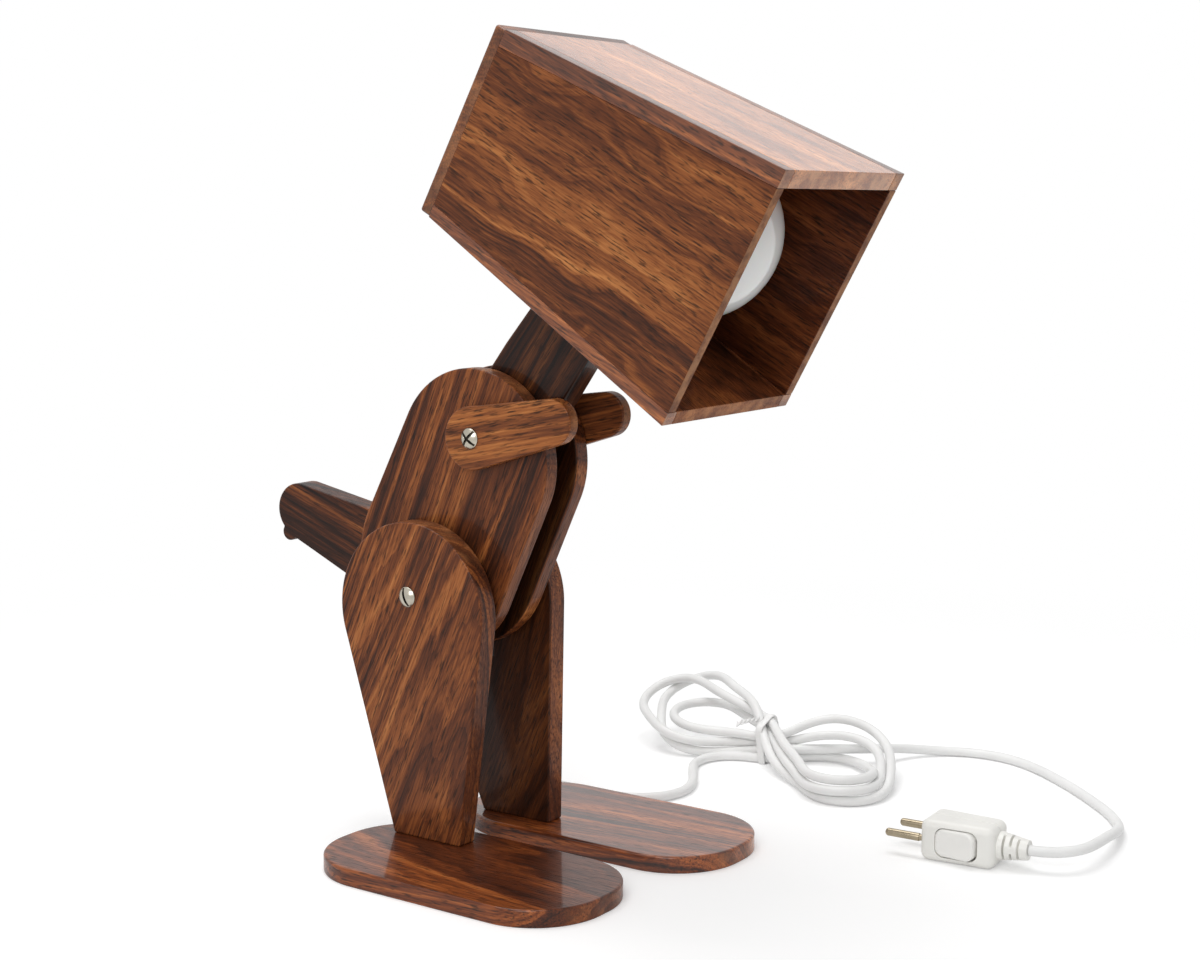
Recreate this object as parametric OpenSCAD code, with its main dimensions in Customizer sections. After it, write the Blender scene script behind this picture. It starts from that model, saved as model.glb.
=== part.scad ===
// Posable wooden desk lamp in the shape of a two-legged, long-tailed creature
// with an open box for a head. +Z is up, the lamp looks towards -Y, and the
// origin lies on the floor below the middle of the lamp. Sizes are in millimetres.

/* [Spine] */
// Distance from the hip bolt to the shoulder bolt
spine = 86; // [80:0.5:96]
// Forward lean of the line from hip to shoulder, in degrees
spine_lean = 22.6; // [18:0.2:27]

/* [Body plates] */
// Thickness of each body plate
body_t = 9.7; // [8:0.1:12]
// Radius of the chest end of a body plate
chest_r = 45; // [38:0.5:50]
// Radius of the belly end of a body plate
belly_r = 46.5; // [40:0.5:50]
// How far the chest centre lies behind the shoulder bolt
chest_back = 5.8; // [0:0.1:10]
// How far the chest centre lies below the shoulder bolt
chest_drop = 12.2; // [5:0.1:18]
// How far the belly centre lies in front of the hip bolt
belly_front = 2; // [0:0.1:6]
// How far the belly centre lies above the hip bolt
belly_rise = 15.8; // [10:0.1:20]

/* [Neck] */
// Thickness of the neck and of the tail
neck_t = 14; // [12:0.5:16]
// Distance from the shoulder bolt to the head pivot
neck_l = 100; // [92:1:106]
// Forward lean of the neck, in degrees
neck_lean = 37.7; // [32:0.1:42]
// Radius of the neck's root round the shoulder bolt
neck_root_r = 21.4; // [20:0.1:23]
// Half width of the neck at its broadest
neck_half_w = 21.5; // [20:0.1:23]
// Distance from the shoulder bolt to where the neck is broadest
neck_broad_at = 40; // [34:1:50]
// Half width of the neck below the head
neck_top_half_w = 19.5; // [18:0.1:20.5]
// Length of the rounded end above the neck's upper corners
neck_end_l = 12; // [11:0.5:14]
// Radius of the boss round the head pivot
boss_r = 10; // [9:0.1:10.5]
// Width of the cable channel in the neck's rear edge
channel_w = 6; // [5.8:0.1:7]
// Depth of the cable channel
channel_depth = 6.5; // [6:0.1:7]

/* [Tail] */
// Distance from the hip bolt to the centre of the tail's tip
tail_l = 102; // [90:1:110]
// Upward slope of the tail, in degrees
tail_up = 17.6; // [12:0.1:24]
// Radius of the tail's root round the hip bolt
tail_root_r = 19; // [17:0.1:19.5]
// Half width of the tail at its broadest
tail_half_w = 20.4; // [19:0.1:22]
// Distance from the hip bolt to where the tail is broadest
tail_broad_at = 48; // [40:1:56]
// Radius of the tail's tip
tail_tip_r = 14; // [12:0.1:15]
// Radius of the small rounded point under the tail's tip
tail_point_r = 4.5; // [3.5:0.1:6]

/* [Arms] */
// Thickness of each arm
arm_t = 7; // [5:0.1:9]
// Distance from the shoulder bolt to the centre of the hand
arm_l = 49; // [42:0.5:52]
// Radius of the arm at the shoulder
arm_root_r = 15.4; // [13:0.1:17]
// Radius of the hand
arm_tip_r = 11; // [9:0.1:12.5]
// Upward slope of the arms, in degrees
arm_up = 12.6; // [0:0.1:20]

/* [Legs] */
// Thickness of each leg
leg_t = 12; // [10:0.5:13]
// Height of the hip bolt above the feet
leg_l = 121; // [112:1:128]
// Radius of the thigh
thigh_r = 44.5; // [42:0.5:46]
// How far the thigh centre lies in front of the hip bolt
thigh_front = 1.2; // [0:0.1:3]
// How far the thigh centre lies below the hip bolt
thigh_drop = 7.7; // [5:0.1:10]
// How far the ankle's front corner lies in front of the hip bolt
ankle_front = 31.7; // [28:0.1:34]
// How far the ankle's rear corner lies behind the hip bolt
ankle_back = 10.8; // [8:0.1:14]
// How far the left leg strides in front of the right one, in degrees
stride = 6.3; // [4:0.1:8]

/* [Feet] */
// Length of each foot
foot_l = 156; // [146:1:162]
// Width of each foot
foot_w = 80; // [76:1:84]
// Thickness of each foot
foot_t = 8.5; // [7:0.1:11]
// Radius of a foot's rounded corners
foot_corner_r = 36.5; // [30:0.5:37]
// Gap between the two feet
feet_gap = 18; // [14:1:20]
// How far the centre of a foot lies in front of the ankle's centre
foot_ahead = 40; // [34:1:44]

/* [Head box] */
// Outside length of the head from rim to back
head_l = 163; // [158:1:168]
// Outside width at the open front
head_front_w = 108; // [104:1:114]
// Outside height at the open front
head_front_h = 123; // [120:1:128]
// Outside width at the back
head_back_w = 101; // [98:1:104]
// Outside height at the back
head_back_h = 93; // [90:1:96]
// Downward pitch of the head, in degrees
head_pitch = 28.7; // [24:0.1:32]
// Thickness of the top panel
head_top_t = 8.5; // [6.5:0.1:9]
// Thickness of the bottom panel
head_bottom_t = 6.5; // [5.5:0.1:7.5]
// Thickness of the side panels
head_side_t = 6.2; // [5:0.1:7.5]
// Thickness of the back panel
head_back_t = 6; // [5.5:0.1:8]
// Width of the contrasting strips along the four long edges
edge_strip_w = 8; // [7.5:0.5:10]
// Distance from the head pivot to the back of the head, along the head
pivot_to_back = 75; // [73:0.5:77]
// Height of the head pivot above the floor of the head
pivot_rise = 8.2; // [8:0.1:9.5]
// Length of the neck slot in front of the pivot
slot_front = 27; // [26:0.5:30]
// Length of the neck slot behind the pivot
slot_back = 30.5; // [29:0.5:33]
// Thickness of the cheeks that hold the head pivot bolt
cheek_t = 8; // [6:0.5:10]
// Half length of a cheek along the head
cheek_half_l = 14; // [12:0.5:16]

/* [Bulb] */
// Radius of the glass globe
globe_r = 40; // [37.5:0.5:41]
// How far the bulb's axis lies above the middle of the head
bulb_rise = 2.5; // [1:0.1:3]
// Thickness of the glass
glass_t = 1; // [0.8:0.1:1.5]
// Length of the globe behind its centre, up to the collar
globe_rear_l = 35; // [33:0.5:36]
// Length of the tapering collar between glass and cap
collar_l = 17; // [15:0.5:18]
// Radius of the collar at the cap
collar_end_r = 14.4; // [13.8:0.1:15]
// Gap between the collar and the lamp holder
collar_gap = 1; // [0.8:0.1:2]
// Radius of the threaded cap
cap_r = 13.1; // [12.9:0.1:13.3]
// Length of the threaded cap
cap_l = 23; // [21:0.5:24]
// Height of the insulator and the centre contact at the end of the cap
cap_tip_l = 5; // [4:0.5:6]

/* [Lamp holder] */
// Outside radius of the lamp holder
holder_r = 20; // [19:0.5:22]
// Length of the lamp holder
holder_l = 49; // [48:0.5:50]
// Depth of the lamp holder's bore
holder_bore_l = 34; // [32:0.5:36]
// Radius of the lamp holder's flange
holder_flange_r = 28; // [27:0.5:29]
// Thickness of the lamp holder's flange
holder_flange_t = 3; // [2.5:0.5:4]
// Thickness of the metal sleeve that takes the thread
sleeve_t = 0.8; // [0.5:0.1:1]

/* [Bolts and washers] */
// Radius of the shoulder bolt and of the hip bolt
bolt_r = 3; // [2.5:0.1:4]
// Radius of the domed heads of these bolts
bolt_head_r = 5; // [4.5:0.1:6.5]
// Height of the domed heads
bolt_head_h = 2.6; // [2:0.1:3.5]
// Radius of the head pivot bolt
pivot_bolt_r = 2.5; // [2:0.1:3]
// Thickness of the washers beside the neck and the tail
washer_t = 0.7; // [0.5:0.1:1.2]
// Thickness of the washers between body plates and arms
arm_washer_t = 0.9; // [0.6:0.1:1.5]
// Thickness of the spacers between body plates and legs
leg_spacer_t = 4.1; // [3:0.1:6]
// Running gap between two faces that turn on each other
play = 0.1; // [0.05:0.05:0.2]
// Radial clearance of a bolt in its bore
bore_fit = 0.05; // [0.02:0.01:0.08]

/* [Cable gland] */
// Radius of the mains cord
cord_r = 2.7; // [2.5:0.1:2.9]
// How far the gland's bore lies in front of the hip bolt
gland_front = 14.15; // [14:0.05:15]
// How far the gland's underside lies below the hip bolt
gland_drop = 34.5; // [33:0.5:36]
// Height of the gland block
gland_h = 15.5; // [12:0.5:16]
// Length of the gland block from front to back
gland_l = 14; // [12:0.5:14]
// Length of the tapered sleeve below the gland
sleeve_l = 22; // [20:1:30]
// Radius of the sleeve at the gland
sleeve_r = 6; // [5:0.1:6.5]
// Radius of the sleeve at its lower end
sleeve_end_r = 3.6; // [3.4:0.1:4]

/* [Plug] */
// Length of the plug's body
plug_l = 37.5; // [36:0.5:42]
// Width of the plug's body at the pins
plug_w = 25.5; // [25:0.5:28]
// Width of the plug's body at the cord
plug_cord_w = 22; // [20:0.5:24]
// Height of the plug's body
plug_h = 21; // [20:0.5:22]
// Wall of the plug's shells
plug_wall = 2; // [1.6:0.1:2.4]
// Radius of a plug pin
pin_r = 2; // [1.9:0.05:2.1]
// Length of the plug pins outside the body
pin_l = 19; // [18:0.5:19.5]
// Radius of a pin's shank where it leaves the body
pin_shank_r = 1.6; // [1.5:0.05:1.7]
// Distance between the plug pins
pin_gap = 18.6; // [18:0.1:19]
// Length of the rocker switch
rocker_l = 21; // [18:0.5:22]
// Height of the rocker switch
rocker_h = 14; // [12:0.5:15]
// Full travel of the rocker switch, in degrees
rocker_travel = 12; // [8:1:14]
// Length of the ribbed strain relief outside the body
relief_l = 14.3; // [12:0.1:18]
// Radius of the strain relief at the plug's body
relief_r = 6.5; // [5.5:0.1:7]
// Radius of the strain relief at its tip
relief_tip_r = 4.4; // [4:0.1:4.8]
// Number of ribs on the strain relief
relief_ribs = 4; // [3:1:5]

/* [Hidden] */
$fn = 96;

// Layers from the middle of the lamp outwards
neck_x = neck_t / 2;
plate_x = neck_x + play + washer_t;
plate_out = plate_x + body_t;
arm_x = plate_out + arm_washer_t + play;
arm_out = arm_x + arm_t;
leg_x = plate_out + leg_spacer_t + play;
leg_out = leg_x + leg_t;
cheek_out = plate_x + cheek_t;
foot_x = feet_gap / 2;

// How far a cut runs past the face it opens, and how deep two joined solids run into each other
past = 1;
joined = 0.01;

// Outside half height and half width of the head at distance s behind the rim
head_slope_h = (head_front_h - head_back_h) / 2 / head_l;
head_slope_w = (head_front_w - head_back_w) / 2 / head_l;
function half_h(s) = head_front_h / 2 - head_slope_h * s;
function half_w(s) = head_front_w / 2 - head_slope_w * s;

// Distance of the head pivot from the rim, and how far it lies below the middle of the head
pivot_s = head_l - pivot_to_back;
pivot_drop = half_h(pivot_s) - head_bottom_t - pivot_rise;

// Joint centres. The hip is placed so that the rim of the head and the tip of
// the tail lie equally far from the origin.
shoulder_ahead = spine * sin(spine_lean);
head_ahead = shoulder_ahead + neck_l * sin(neck_lean);
rim_ahead = head_ahead + pivot_s * cos(head_pitch) + (head_front_h / 2 + pivot_drop) * sin(head_pitch);
tail_behind = tail_l * cos(tail_up) + tail_tip_r;
hip_y = (rim_ahead - tail_behind) / 2;
hip_z = foot_t + leg_l;
shoulder_y = hip_y - shoulder_ahead;
shoulder_z = hip_z + spine * cos(spine_lean);
head_y = hip_y - head_ahead;
head_z = shoulder_z + neck_l * cos(neck_lean);

// Ends of the spine plates, as [y, z]
chest = [shoulder_y + chest_back, shoulder_z - chest_drop];
belly = [hip_y - belly_front, hip_z + belly_rise];

// Place of the small point: beyond the centre of the tail's tip, and inside its edge
tail_point_back = 2.7;
tail_point_sunk = 0.3;

// Bolts
bolt_stub_r = 0.6 * bolt_r;
bolt_stub_l = 12;
bolt_end_gap = 0.4;
slot_w = 1.2;
slot_depth = 1.1;
washer_r = 9;
spacer_r = 10;
head_washer_r = pivot_rise - 0.2;
pivot_head_r = 4.5;
nut_r = 4.5;
nut_l = 5;
wing_l = 9;
wing_t = 2;
wing_sunk = 1;
pivot_bolt_end = 1;
slot_play = 0.6;

// Gaps between the lead inside the lamp and what turns beside it
neck_lead_gap = 3.4;
tail_lead_gap = 0.8;
channel_lead_gap = 0.1;

// Foot screws
foot_screw_r = 2;
foot_screw_head_r = 4;
foot_screw_head_h = 2.4;
foot_screw_l = 26;
foot_screw_gap = 20;

// Lamp holder screws and contacts
holder_screw_r = 1.7;
holder_screw_head_r = 3;
holder_screw_head_h = 1.8;
holder_screw_depth = 4.5;
holder_screw_x = (holder_r + holder_flange_r) / 2;
sleeve_contact_l = 20;
sleeve_contact_back = 6;
tongue_r = 4;
cap_contact_r = 4.5;
cap_contact_h = 1.5;
cap_shoulder = 1.5;
collar_wall = 2;

// The bulb's place along the head follows from the lamp holder on the back panel
holder_front = head_l - head_back_t - holder_l;
cap_front = holder_front - collar_gap;
globe_s = cap_front - collar_l - globe_rear_l;

// Plug, in its own frame: the middle of the pin face, +Y along the pins
plug_at = [114.3, -157.5, plug_h / 2];
plug_turn = 3;
plug_corner_r = 3;
pin_shank_l = 1;
pin_base_l = 4;
pin_base_r = 1.5;
pin_base_x = pin_gap / 2 - 0.6;
strip_t = 0.8;
strip_h = 3;
strip_behind = 2.8;
rocker_at = -plug_l / 2;
rocker_x = -plug_w / 2 + 6.5;
rocker_t = 7;
rocker_gap = 0.6;
rocker_dip = 0.9;
rocker_lip = 0.4;
rocker_rim = 3;
rocker_pin_r = 1.6;
rocker_pin_gap = 0.2;
relief_root_l = 5;
relief_groove_w = 1.1;
relief_groove_depth = 0.6;
relief_groove_at = 0.75;

// Route of the cord from the gland to the hank
LAMP_SIDE = [
  [0, 40, 73], [0, 40, 62], [0, 40, 50], [0, 41, 38], [0, 44, 27], [0, 50, 17.5], [0, 58, 10.5],
  [0, 67.5, 5.5], [0.5, 78, 3], [3, 89, 2.7], [9, 99, 2.7], [18.5, 105.5, 2.7], [30, 108, 2.7],
  [41.5, 108, 2.7], [53, 108, 2.7], [65, 108, 2.7], [76.5, 105.5, 2.7], [86, 99, 2.7],
  [92.5, 89.5, 2.7], [95, 78, 2.7], [95, 64, 2.7], [95, 50, 2.7], [95, 36, 2.7], [95, 23, 2.7],
  [97.5, 11.5, 2.7], [104, 2, 2.7], [113.5, -4.5, 2.7], [125, -6.5, 2.7], [136.5, -4, 2.7],
  [146.5, 1, 2.7], [156, 7, 2.7], [165.5, 13, 2.7], [174.5, 18, 2.7]
];

// Route of the cord from the hank to the plug
PLUG_SIDE = [
  [249, -68, 8.3], [258, -71.5, 6.6], [267, -76.5, 5], [275, -83.5, 3.6], [282, -92.5, 2.8],
  [286.5, -103, 2.7], [288, -115, 2.7], [286.5, -127.5, 2.7], [281.5, -140, 2.7],
  [274, -152, 2.7], [264.5, -164.5, 2.7], [254, -177, 2.7], [243, -189, 2.7],
  [231.5, -200.5, 2.7], [220, -211, 2.7], [208, -219.5, 3], [195.5, -225.5, 4.4],
  [183, -229, 6.4], [171, -231, 8.4], [160, -232, 9.8], [150, -232.5, 10.6],
  [140.5, -232.3, 11], [131.5, -230.4, 11], [124, -225.5, 10.8], [119, -218, 10.6],
  [117, -209.2, 10.5]
];

// The hank: two round lobes on either side of a tied waist
HANK_WAIST = [211, -11];
HANK_LEFT = [214, 42];
HANK_RIGHT = [203, -63];
hank_lobe_r = 46;
hank_waist_r = 14;
hank_h = 26;
hank_turn = 6;
tie_w = 4;
tie_t = 2;
tie_fit = 0.3;

// ---- Outlines and helpers ----

// Outline of a bar with two round ends: r1 at the origin, r2 further along +Y
module link_outline(r1, r2, l) {
  side = asin((r1 - r2) / l);
  circle(r = r1);
  translate([0, l]) circle(r = r2);
  polygon([
    [r1 * cos(side), r1 * sin(side)], [r2 * cos(side), l + r2 * sin(side)],
    [-r2 * cos(side), l + r2 * sin(side)], [-r1 * cos(side), r1 * sin(side)]
  ]);
}

// The same bar between two given centres
module link_between(p1, r1, p2, r2) {
  d = p2 - p1;
  translate(p1) rotate(atan2(d[1], d[0]) - 90) link_outline(r1, r2, norm(d));
}

// Extrudes a [y, z] outline into a plate from x to x + t
module plate(x, t) {
  translate([x, 0, 0]) rotate([90, 0, 90]) linear_extrude(height = t) children();
}

// Repeats something made on the left, mirrored to the right
module mirrored_pair() {
  children();
  mirror([1, 0, 0]) children();
}

// A cylinder along X through a joint centre
module cross_bore(y, z, r, reach) {
  translate([-reach, y, z]) rotate([0, 90, 0]) cylinder(r = r, h = 2 * reach);
}

// A ring round a joint centre, from x to x + t
module ring(y, z, r_out, r_in, x, t) {
  translate([x, y, z]) rotate([0, 90, 0]) difference() {
    cylinder(r = r_out, h = t);
    translate([0, 0, -past]) cylinder(r = r_in, h = t + 2 * past);
  }
}

// A low dome on the XY plane, part of a sphere
module dome(r, h) {
  ball_r = (r * r + h * h) / (2 * h);
  intersection() {
    translate([0, 0, h - ball_r]) sphere(r = ball_r);
    cylinder(r = r, h = h + past);
  }
}

// A domed head on the XY plane with one slot, or with a cross
module slotted_dome(r, h, cross) {
  difference() {
    dome(r, h);
    translate([-r, -slot_w / 2, h - slot_depth]) cube([2 * r, slot_w, h]);
    if (cross) translate([-slot_w / 2, -r, h - slot_depth]) cube([slot_w, 2 * r, h]);
  }
}

// Direction of the route at one of its points
function direction(p, i) =
  let (n = len(p) - 1, k = min(i, n), d = p[min(k + 1, n)] - p[max(k - 1, 0)]) d / norm(d);

// Turns a side vector as little as needed to stand square to the route
function squared(v, t) = let (w = v - (v * t) * t) w / norm(w);

// A tube of radius r swept along the points, with side as its first side vector
module tube(p, r, side, around = 10) {
  n = len(p);
  sides = [
    for (i = 0, v = squared(side, direction(p, 0)); i < n; i = i + 1, v = squared(v, direction(p, i))) v
  ];
  corners = [
    for (i = [0:n - 1]) for (j = [0:around - 1])
      let (a = 360 * j / around) p[i] + r * (cos(a) * sides[i] + sin(a) * cross(direction(p, i), sides[i]))
  ];
  walls = [
    for (i = [0:n - 2]) for (j = [0:around - 1])
      let (k = (j + 1) % around, a = i * around, b = a + around)
        each [[a + j, b + j, b + k], [a + j, b + k, a + k]]
  ];
  start = [for (j = [0:around - 1]) j];
  end = [for (j = [0:around - 1]) n * around - 1 - j];
  polyhedron(points = corners, faces = concat([start], walls, [end]));
}

// ---- Body ----

module body_plate() {
  difference() {
    plate(plate_x, body_t) link_between(belly, belly_r, chest, chest_r);
    cross_bore(shoulder_y, shoulder_z, bolt_r + bore_fit, leg_out);
    cross_bore(hip_y, hip_z, bolt_r + bore_fit, leg_out);
  }
}

module body_plate_right() { color("saddlebrown") mirror([1, 0, 0]) body_plate(); }
module body_plate_left() { color("saddlebrown") body_plate(); }

// A barrel bolt along X: domed head on the right, threaded barrel to the left
module barrel_bolt(y, z, reach) {
  translate([0, y, z]) {
    translate([-reach, 0, 0]) rotate([0, -90, 0]) slotted_dome(bolt_head_r, bolt_head_h, false);
    difference() {
      translate([-reach, 0, 0]) rotate([0, 90, 0]) cylinder(r = bolt_r, h = 2 * reach - bolt_end_gap);
      translate([reach - bolt_stub_l - past, 0, 0]) rotate([0, 90, 0])
        cylinder(r = bolt_stub_r + bore_fit, h = bolt_stub_l + 2 * past);
    }
  }
}

// The screw that enters the barrel from the left
module barrel_screw(y, z, reach) {
  translate([reach, y, z]) {
    rotate([0, 90, 0]) slotted_dome(bolt_head_r, bolt_head_h, true);
    translate([-bolt_stub_l, 0, 0]) rotate([0, 90, 0]) cylinder(r = bolt_stub_r, h = bolt_stub_l);
  }
}

module shoulder_bolt() { color("silver") barrel_bolt(shoulder_y, shoulder_z, arm_out + play); }
module shoulder_screw() { color("silver") barrel_screw(shoulder_y, shoulder_z, arm_out + play); }
module hip_bolt() { color("silver") barrel_bolt(hip_y, hip_z, leg_out + play); }
module hip_screw() { color("silver") barrel_screw(hip_y, hip_z, leg_out + play); }

module neck_washers() {
  color("gainsboro") mirrored_pair()
    ring(shoulder_y, shoulder_z, washer_r, bolt_r + bore_fit, neck_x + play, washer_t);
}

module tail_washers() {
  color("gainsboro") mirrored_pair()
    ring(hip_y, hip_z, washer_r, bolt_r + bore_fit, neck_x + play, washer_t);
}

module arm_washers() {
  color("gainsboro") mirrored_pair()
    ring(shoulder_y, shoulder_z, washer_r, bolt_r + bore_fit, plate_out, arm_washer_t);
}

module leg_spacers() {
  color("gainsboro") mirrored_pair()
    ring(hip_y, hip_z, spacer_r, bolt_r + bore_fit, plate_out, leg_spacer_t);
}

// ---- Cable gland between the body plates ----

gland_y = hip_y - gland_front;
gland_z = hip_z - gland_drop;

module cord_gland() {
  color("black") difference() {
    translate([-plate_x, gland_y - gland_l / 2, gland_z]) cube([2 * plate_x, gland_l, gland_h]);
    translate([0, gland_y, gland_z - past]) cylinder(r = cord_r + bore_fit, h = gland_h + 2 * past);
  }
}

module gland_sleeve() {
  color("black") translate([0, gland_y, gland_z - sleeve_l])
    cylinder(r1 = sleeve_end_r, r2 = sleeve_r, h = sleeve_l);
}

// Points at distance r from a bolt, by the angle below the horizontal: behind the
// shoulder bolt, and in front of the hip bolt
function behind_shoulder(r, a) = [0, shoulder_y + r * cos(a), shoulder_z - r * sin(a)];
function before_hip(r, a) = [0, hip_y - r * cos(a), hip_z - r * sin(a)];

// The lead swings round the neck's root, passes in front of the tail's root and
// goes straight down into the gland
module body_lead() {
  top_r = neck_root_r + cord_r + neck_lead_gap;
  low_r = tail_root_r + cord_r + tail_lead_gap;
  entry_z = gland_z + gland_h;
  color("whitesmoke") tube([
    behind_shoulder(top_r, 16), behind_shoulder(1.22 * top_r, 43), behind_shoulder(1.7 * top_r, 67),
    before_hip(1.37 * low_r, -46), before_hip(1.13 * low_r, -23), before_hip(low_r, 3),
    before_hip(low_r, 25), before_hip(low_r, 38),
    [0, gland_y - 0.2 * cord_r, entry_z + 0.9 * cord_r], [0, gland_y, entry_z - 0.5 * cord_r],
    [0, gland_y, gland_z]
  ], cord_r, [1, 0, 0]);
}

// ---- Neck ----

// Places [across, along] neck outlines in the [y, z] plane
module neck_frame() { translate([shoulder_y, shoulder_z]) rotate(neck_lean) children(); }

// A point [across, along] of the neck, as [x, y, z]
function on_neck(w, a) = [
  0,
  shoulder_y + w * cos(neck_lean) - a * sin(neck_lean),
  shoulder_z + w * sin(neck_lean) + a * cos(neck_lean)
];

module neck_outline() {
  corner = [neck_top_half_w, -neck_end_l];
  touch = atan2(corner[1], corner[0]) + acos(boss_r / norm(corner));
  circle(r = neck_root_r);
  translate([0, neck_l]) circle(r = boss_r);
  polygon([
    [neck_root_r, 0], [neck_half_w, neck_broad_at], [neck_top_half_w, neck_l - neck_end_l],
    [boss_r * cos(touch), neck_l + boss_r * sin(touch)],
    [-boss_r * cos(touch), neck_l + boss_r * sin(touch)],
    [-neck_top_half_w, neck_l - neck_end_l], [-neck_half_w, neck_broad_at], [-neck_root_r, 0]
  ]);
}

module neck() {
  color("sienna") difference() {
    plate(-neck_x, neck_t) neck_frame() neck_outline();
    plate(-channel_w / 2, channel_w) neck_frame() difference() {
      translate([0, -neck_root_r - past]) square([neck_half_w + past, neck_l + neck_root_r + past]);
      translate([-channel_depth, 0]) neck_outline();
    }
    cross_bore(shoulder_y, shoulder_z, bolt_r + bore_fit, plate_x);
    cross_bore(head_y, head_z, pivot_bolt_r + bore_fit, plate_x);
  }
}

// The lead lies in the channel, just below the neck's rear edge
module neck_lead() {
  root_w = neck_root_r - channel_depth + cord_r + channel_lead_gap;
  broad_w = root_w + neck_half_w - neck_root_r;
  top_w = root_w + neck_top_half_w - neck_root_r;
  color("whitesmoke") tube([
    on_neck(root_w, -neck_end_l), on_neck(root_w, 0), on_neck(broad_w, neck_broad_at),
    on_neck(top_w + 0.02 * neck_half_w, neck_l - 1.8 * neck_end_l),
    on_neck(top_w, neck_l - 0.95 * neck_end_l), on_neck(top_w - 0.35 * boss_r, neck_l - 0.5 * boss_r),
    on_neck(top_w - 0.6 * boss_r, neck_l - 0.1 * boss_r)
  ], cord_r, [1, 0, 0]);
}

// ---- Tail ----

module tail() {
  tip = [0, tail_l];
  color("sienna") difference() {
    plate(-neck_x, neck_t) translate([hip_y, hip_z]) rotate(tail_up - 90) {
      link_between([0, 0], tail_root_r, [0, tail_broad_at], tail_half_w);
      link_between([0, tail_broad_at], tail_half_w, tip, tail_tip_r);
      translate(tip + [tail_tip_r - tail_point_sunk, tail_point_back]) circle(r = tail_point_r);
    }
    cross_bore(hip_y, hip_z, bolt_r + bore_fit, plate_x);
  }
}

// ---- Arms ----

module arm() {
  difference() {
    plate(arm_x, arm_t) translate([shoulder_y, shoulder_z]) rotate(90 - arm_up)
      link_outline(arm_root_r, arm_tip_r, arm_l);
    cross_bore(shoulder_y, shoulder_z, bolt_r + bore_fit, leg_out);
  }
}

module arm_right() { color("sienna") mirror([1, 0, 0]) arm(); }
module arm_left() { color("sienna") arm(); }

// ---- Legs and feet ----

// Point where a line from outside touches a circle: turn is 1 or -1
function touch_point(c, r, p, turn) =
  let (d = p - c, a = atan2(d[1], d[0]) + turn * acos(r / norm(d))) c + r * [cos(a), sin(a)];

// Leg outline round the hip, longer than needed so that the foot can cut it flat
module leg_outline() {
  thigh = [-thigh_front, -thigh_drop];
  toe = [-ankle_front, -leg_l];
  heel = [ankle_back, -leg_l];
  front = touch_point(thigh, thigh_r, toe, -1);
  back = touch_point(thigh, thigh_r, heel, 1);
  longer = 1.2;
  translate(thigh) circle(r = thigh_r);
  polygon([front, front + longer * (toe - front), back + longer * (heel - back), back]);
}

// Middle of the ankle in front of the hip, for a leg that strides forward by angle
function ankle_ahead(angle) =
  leg_l * tan(angle) + (ankle_front - ankle_back) / 2 / cos(angle);

function screw_y(angle, k) = hip_y - ankle_ahead(angle) + k * foot_screw_gap / 2;

module foot_screw_holes(angle) {
  for (k = [-1, 1]) translate([(leg_x + leg_out) / 2, screw_y(angle, k), 0]) {
    translate([0, 0, -past]) cylinder(r = foot_screw_r + bore_fit, h = foot_screw_l + 2 * past);
    translate([0, 0, -joined])
      cylinder(r1 = foot_screw_head_r + bore_fit, r2 = foot_screw_r + bore_fit, h = foot_screw_head_h);
  }
}

module leg(angle) {
  difference() {
    plate(leg_x, leg_t) intersection() {
      translate([hip_y, hip_z]) rotate(-angle) leg_outline();
      translate([hip_y - 2 * thigh_r, foot_t]) square([4 * thigh_r, leg_l + thigh_r]);
    }
    cross_bore(hip_y, hip_z, bolt_r + bore_fit, leg_out + past);
    foot_screw_holes(angle);
  }
}

module foot(angle) {
  y = hip_y - ankle_ahead(angle) - foot_ahead;
  cx = foot_x + foot_w / 2;
  dx = foot_w / 2 - foot_corner_r;
  dy = foot_l / 2 - foot_corner_r;
  difference() {
    translate([cx, y, 0]) {
      for (sx = [-1, 1], sy = [-1, 1])
        translate([sx * dx, sy * dy, 0]) cylinder(r = foot_corner_r, h = foot_t);
      translate([-foot_w / 2, -dy, 0]) cube([foot_w, 2 * dy, foot_t]);
      translate([-dx, -foot_l / 2, 0]) cube([2 * dx, foot_l, foot_t]);
    }
    foot_screw_holes(angle);
  }
}

module foot_screws(angle) {
  for (k = [-1, 1]) translate([(leg_x + leg_out) / 2, screw_y(angle, k), 0]) {
    cylinder(r = foot_screw_r, h = foot_screw_l);
    cylinder(r1 = foot_screw_head_r, r2 = foot_screw_r, h = foot_screw_head_h);
  }
}

module leg_right() { color("sienna") mirror([1, 0, 0]) leg(0); }
module leg_left() { color("sienna") leg(stride); }
module foot_right() { color("saddlebrown") mirror([1, 0, 0]) foot(0); }
module foot_left() { color("saddlebrown") foot(stride); }
module foot_screws_right() { color("dimgray") mirror([1, 0, 0]) foot_screws(0); }
module foot_screws_left() { color("dimgray") foot_screws(stride); }

// ---- Head box ----

// Head frame: origin in the middle of the rim, +Y back along the head, +Z up across it
module head_frame() {
  translate([0, head_y, head_z]) rotate([head_pitch, 0, 0]) translate([0, -pivot_s, pivot_drop]) children();
}

// A tapering block from s0 to s1: z and x are [low, high] at s0 and [low, high] at s1
module taper_block(s0, s1, z0, z1, x0, x1) {
  intersection() {
    plate(-head_front_w, 2 * head_front_w) polygon([[s0, z0[0]], [s1, z1[0]], [s1, z1[1]], [s0, z0[1]]]);
    translate([0, 0, -head_front_h]) linear_extrude(height = 2 * head_front_h)
      polygon([[x0[0], s0], [x0[1], s0], [x1[1], s1], [x1[0], s1]]);
  }
}

back_s = head_l - head_back_t;

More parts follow.
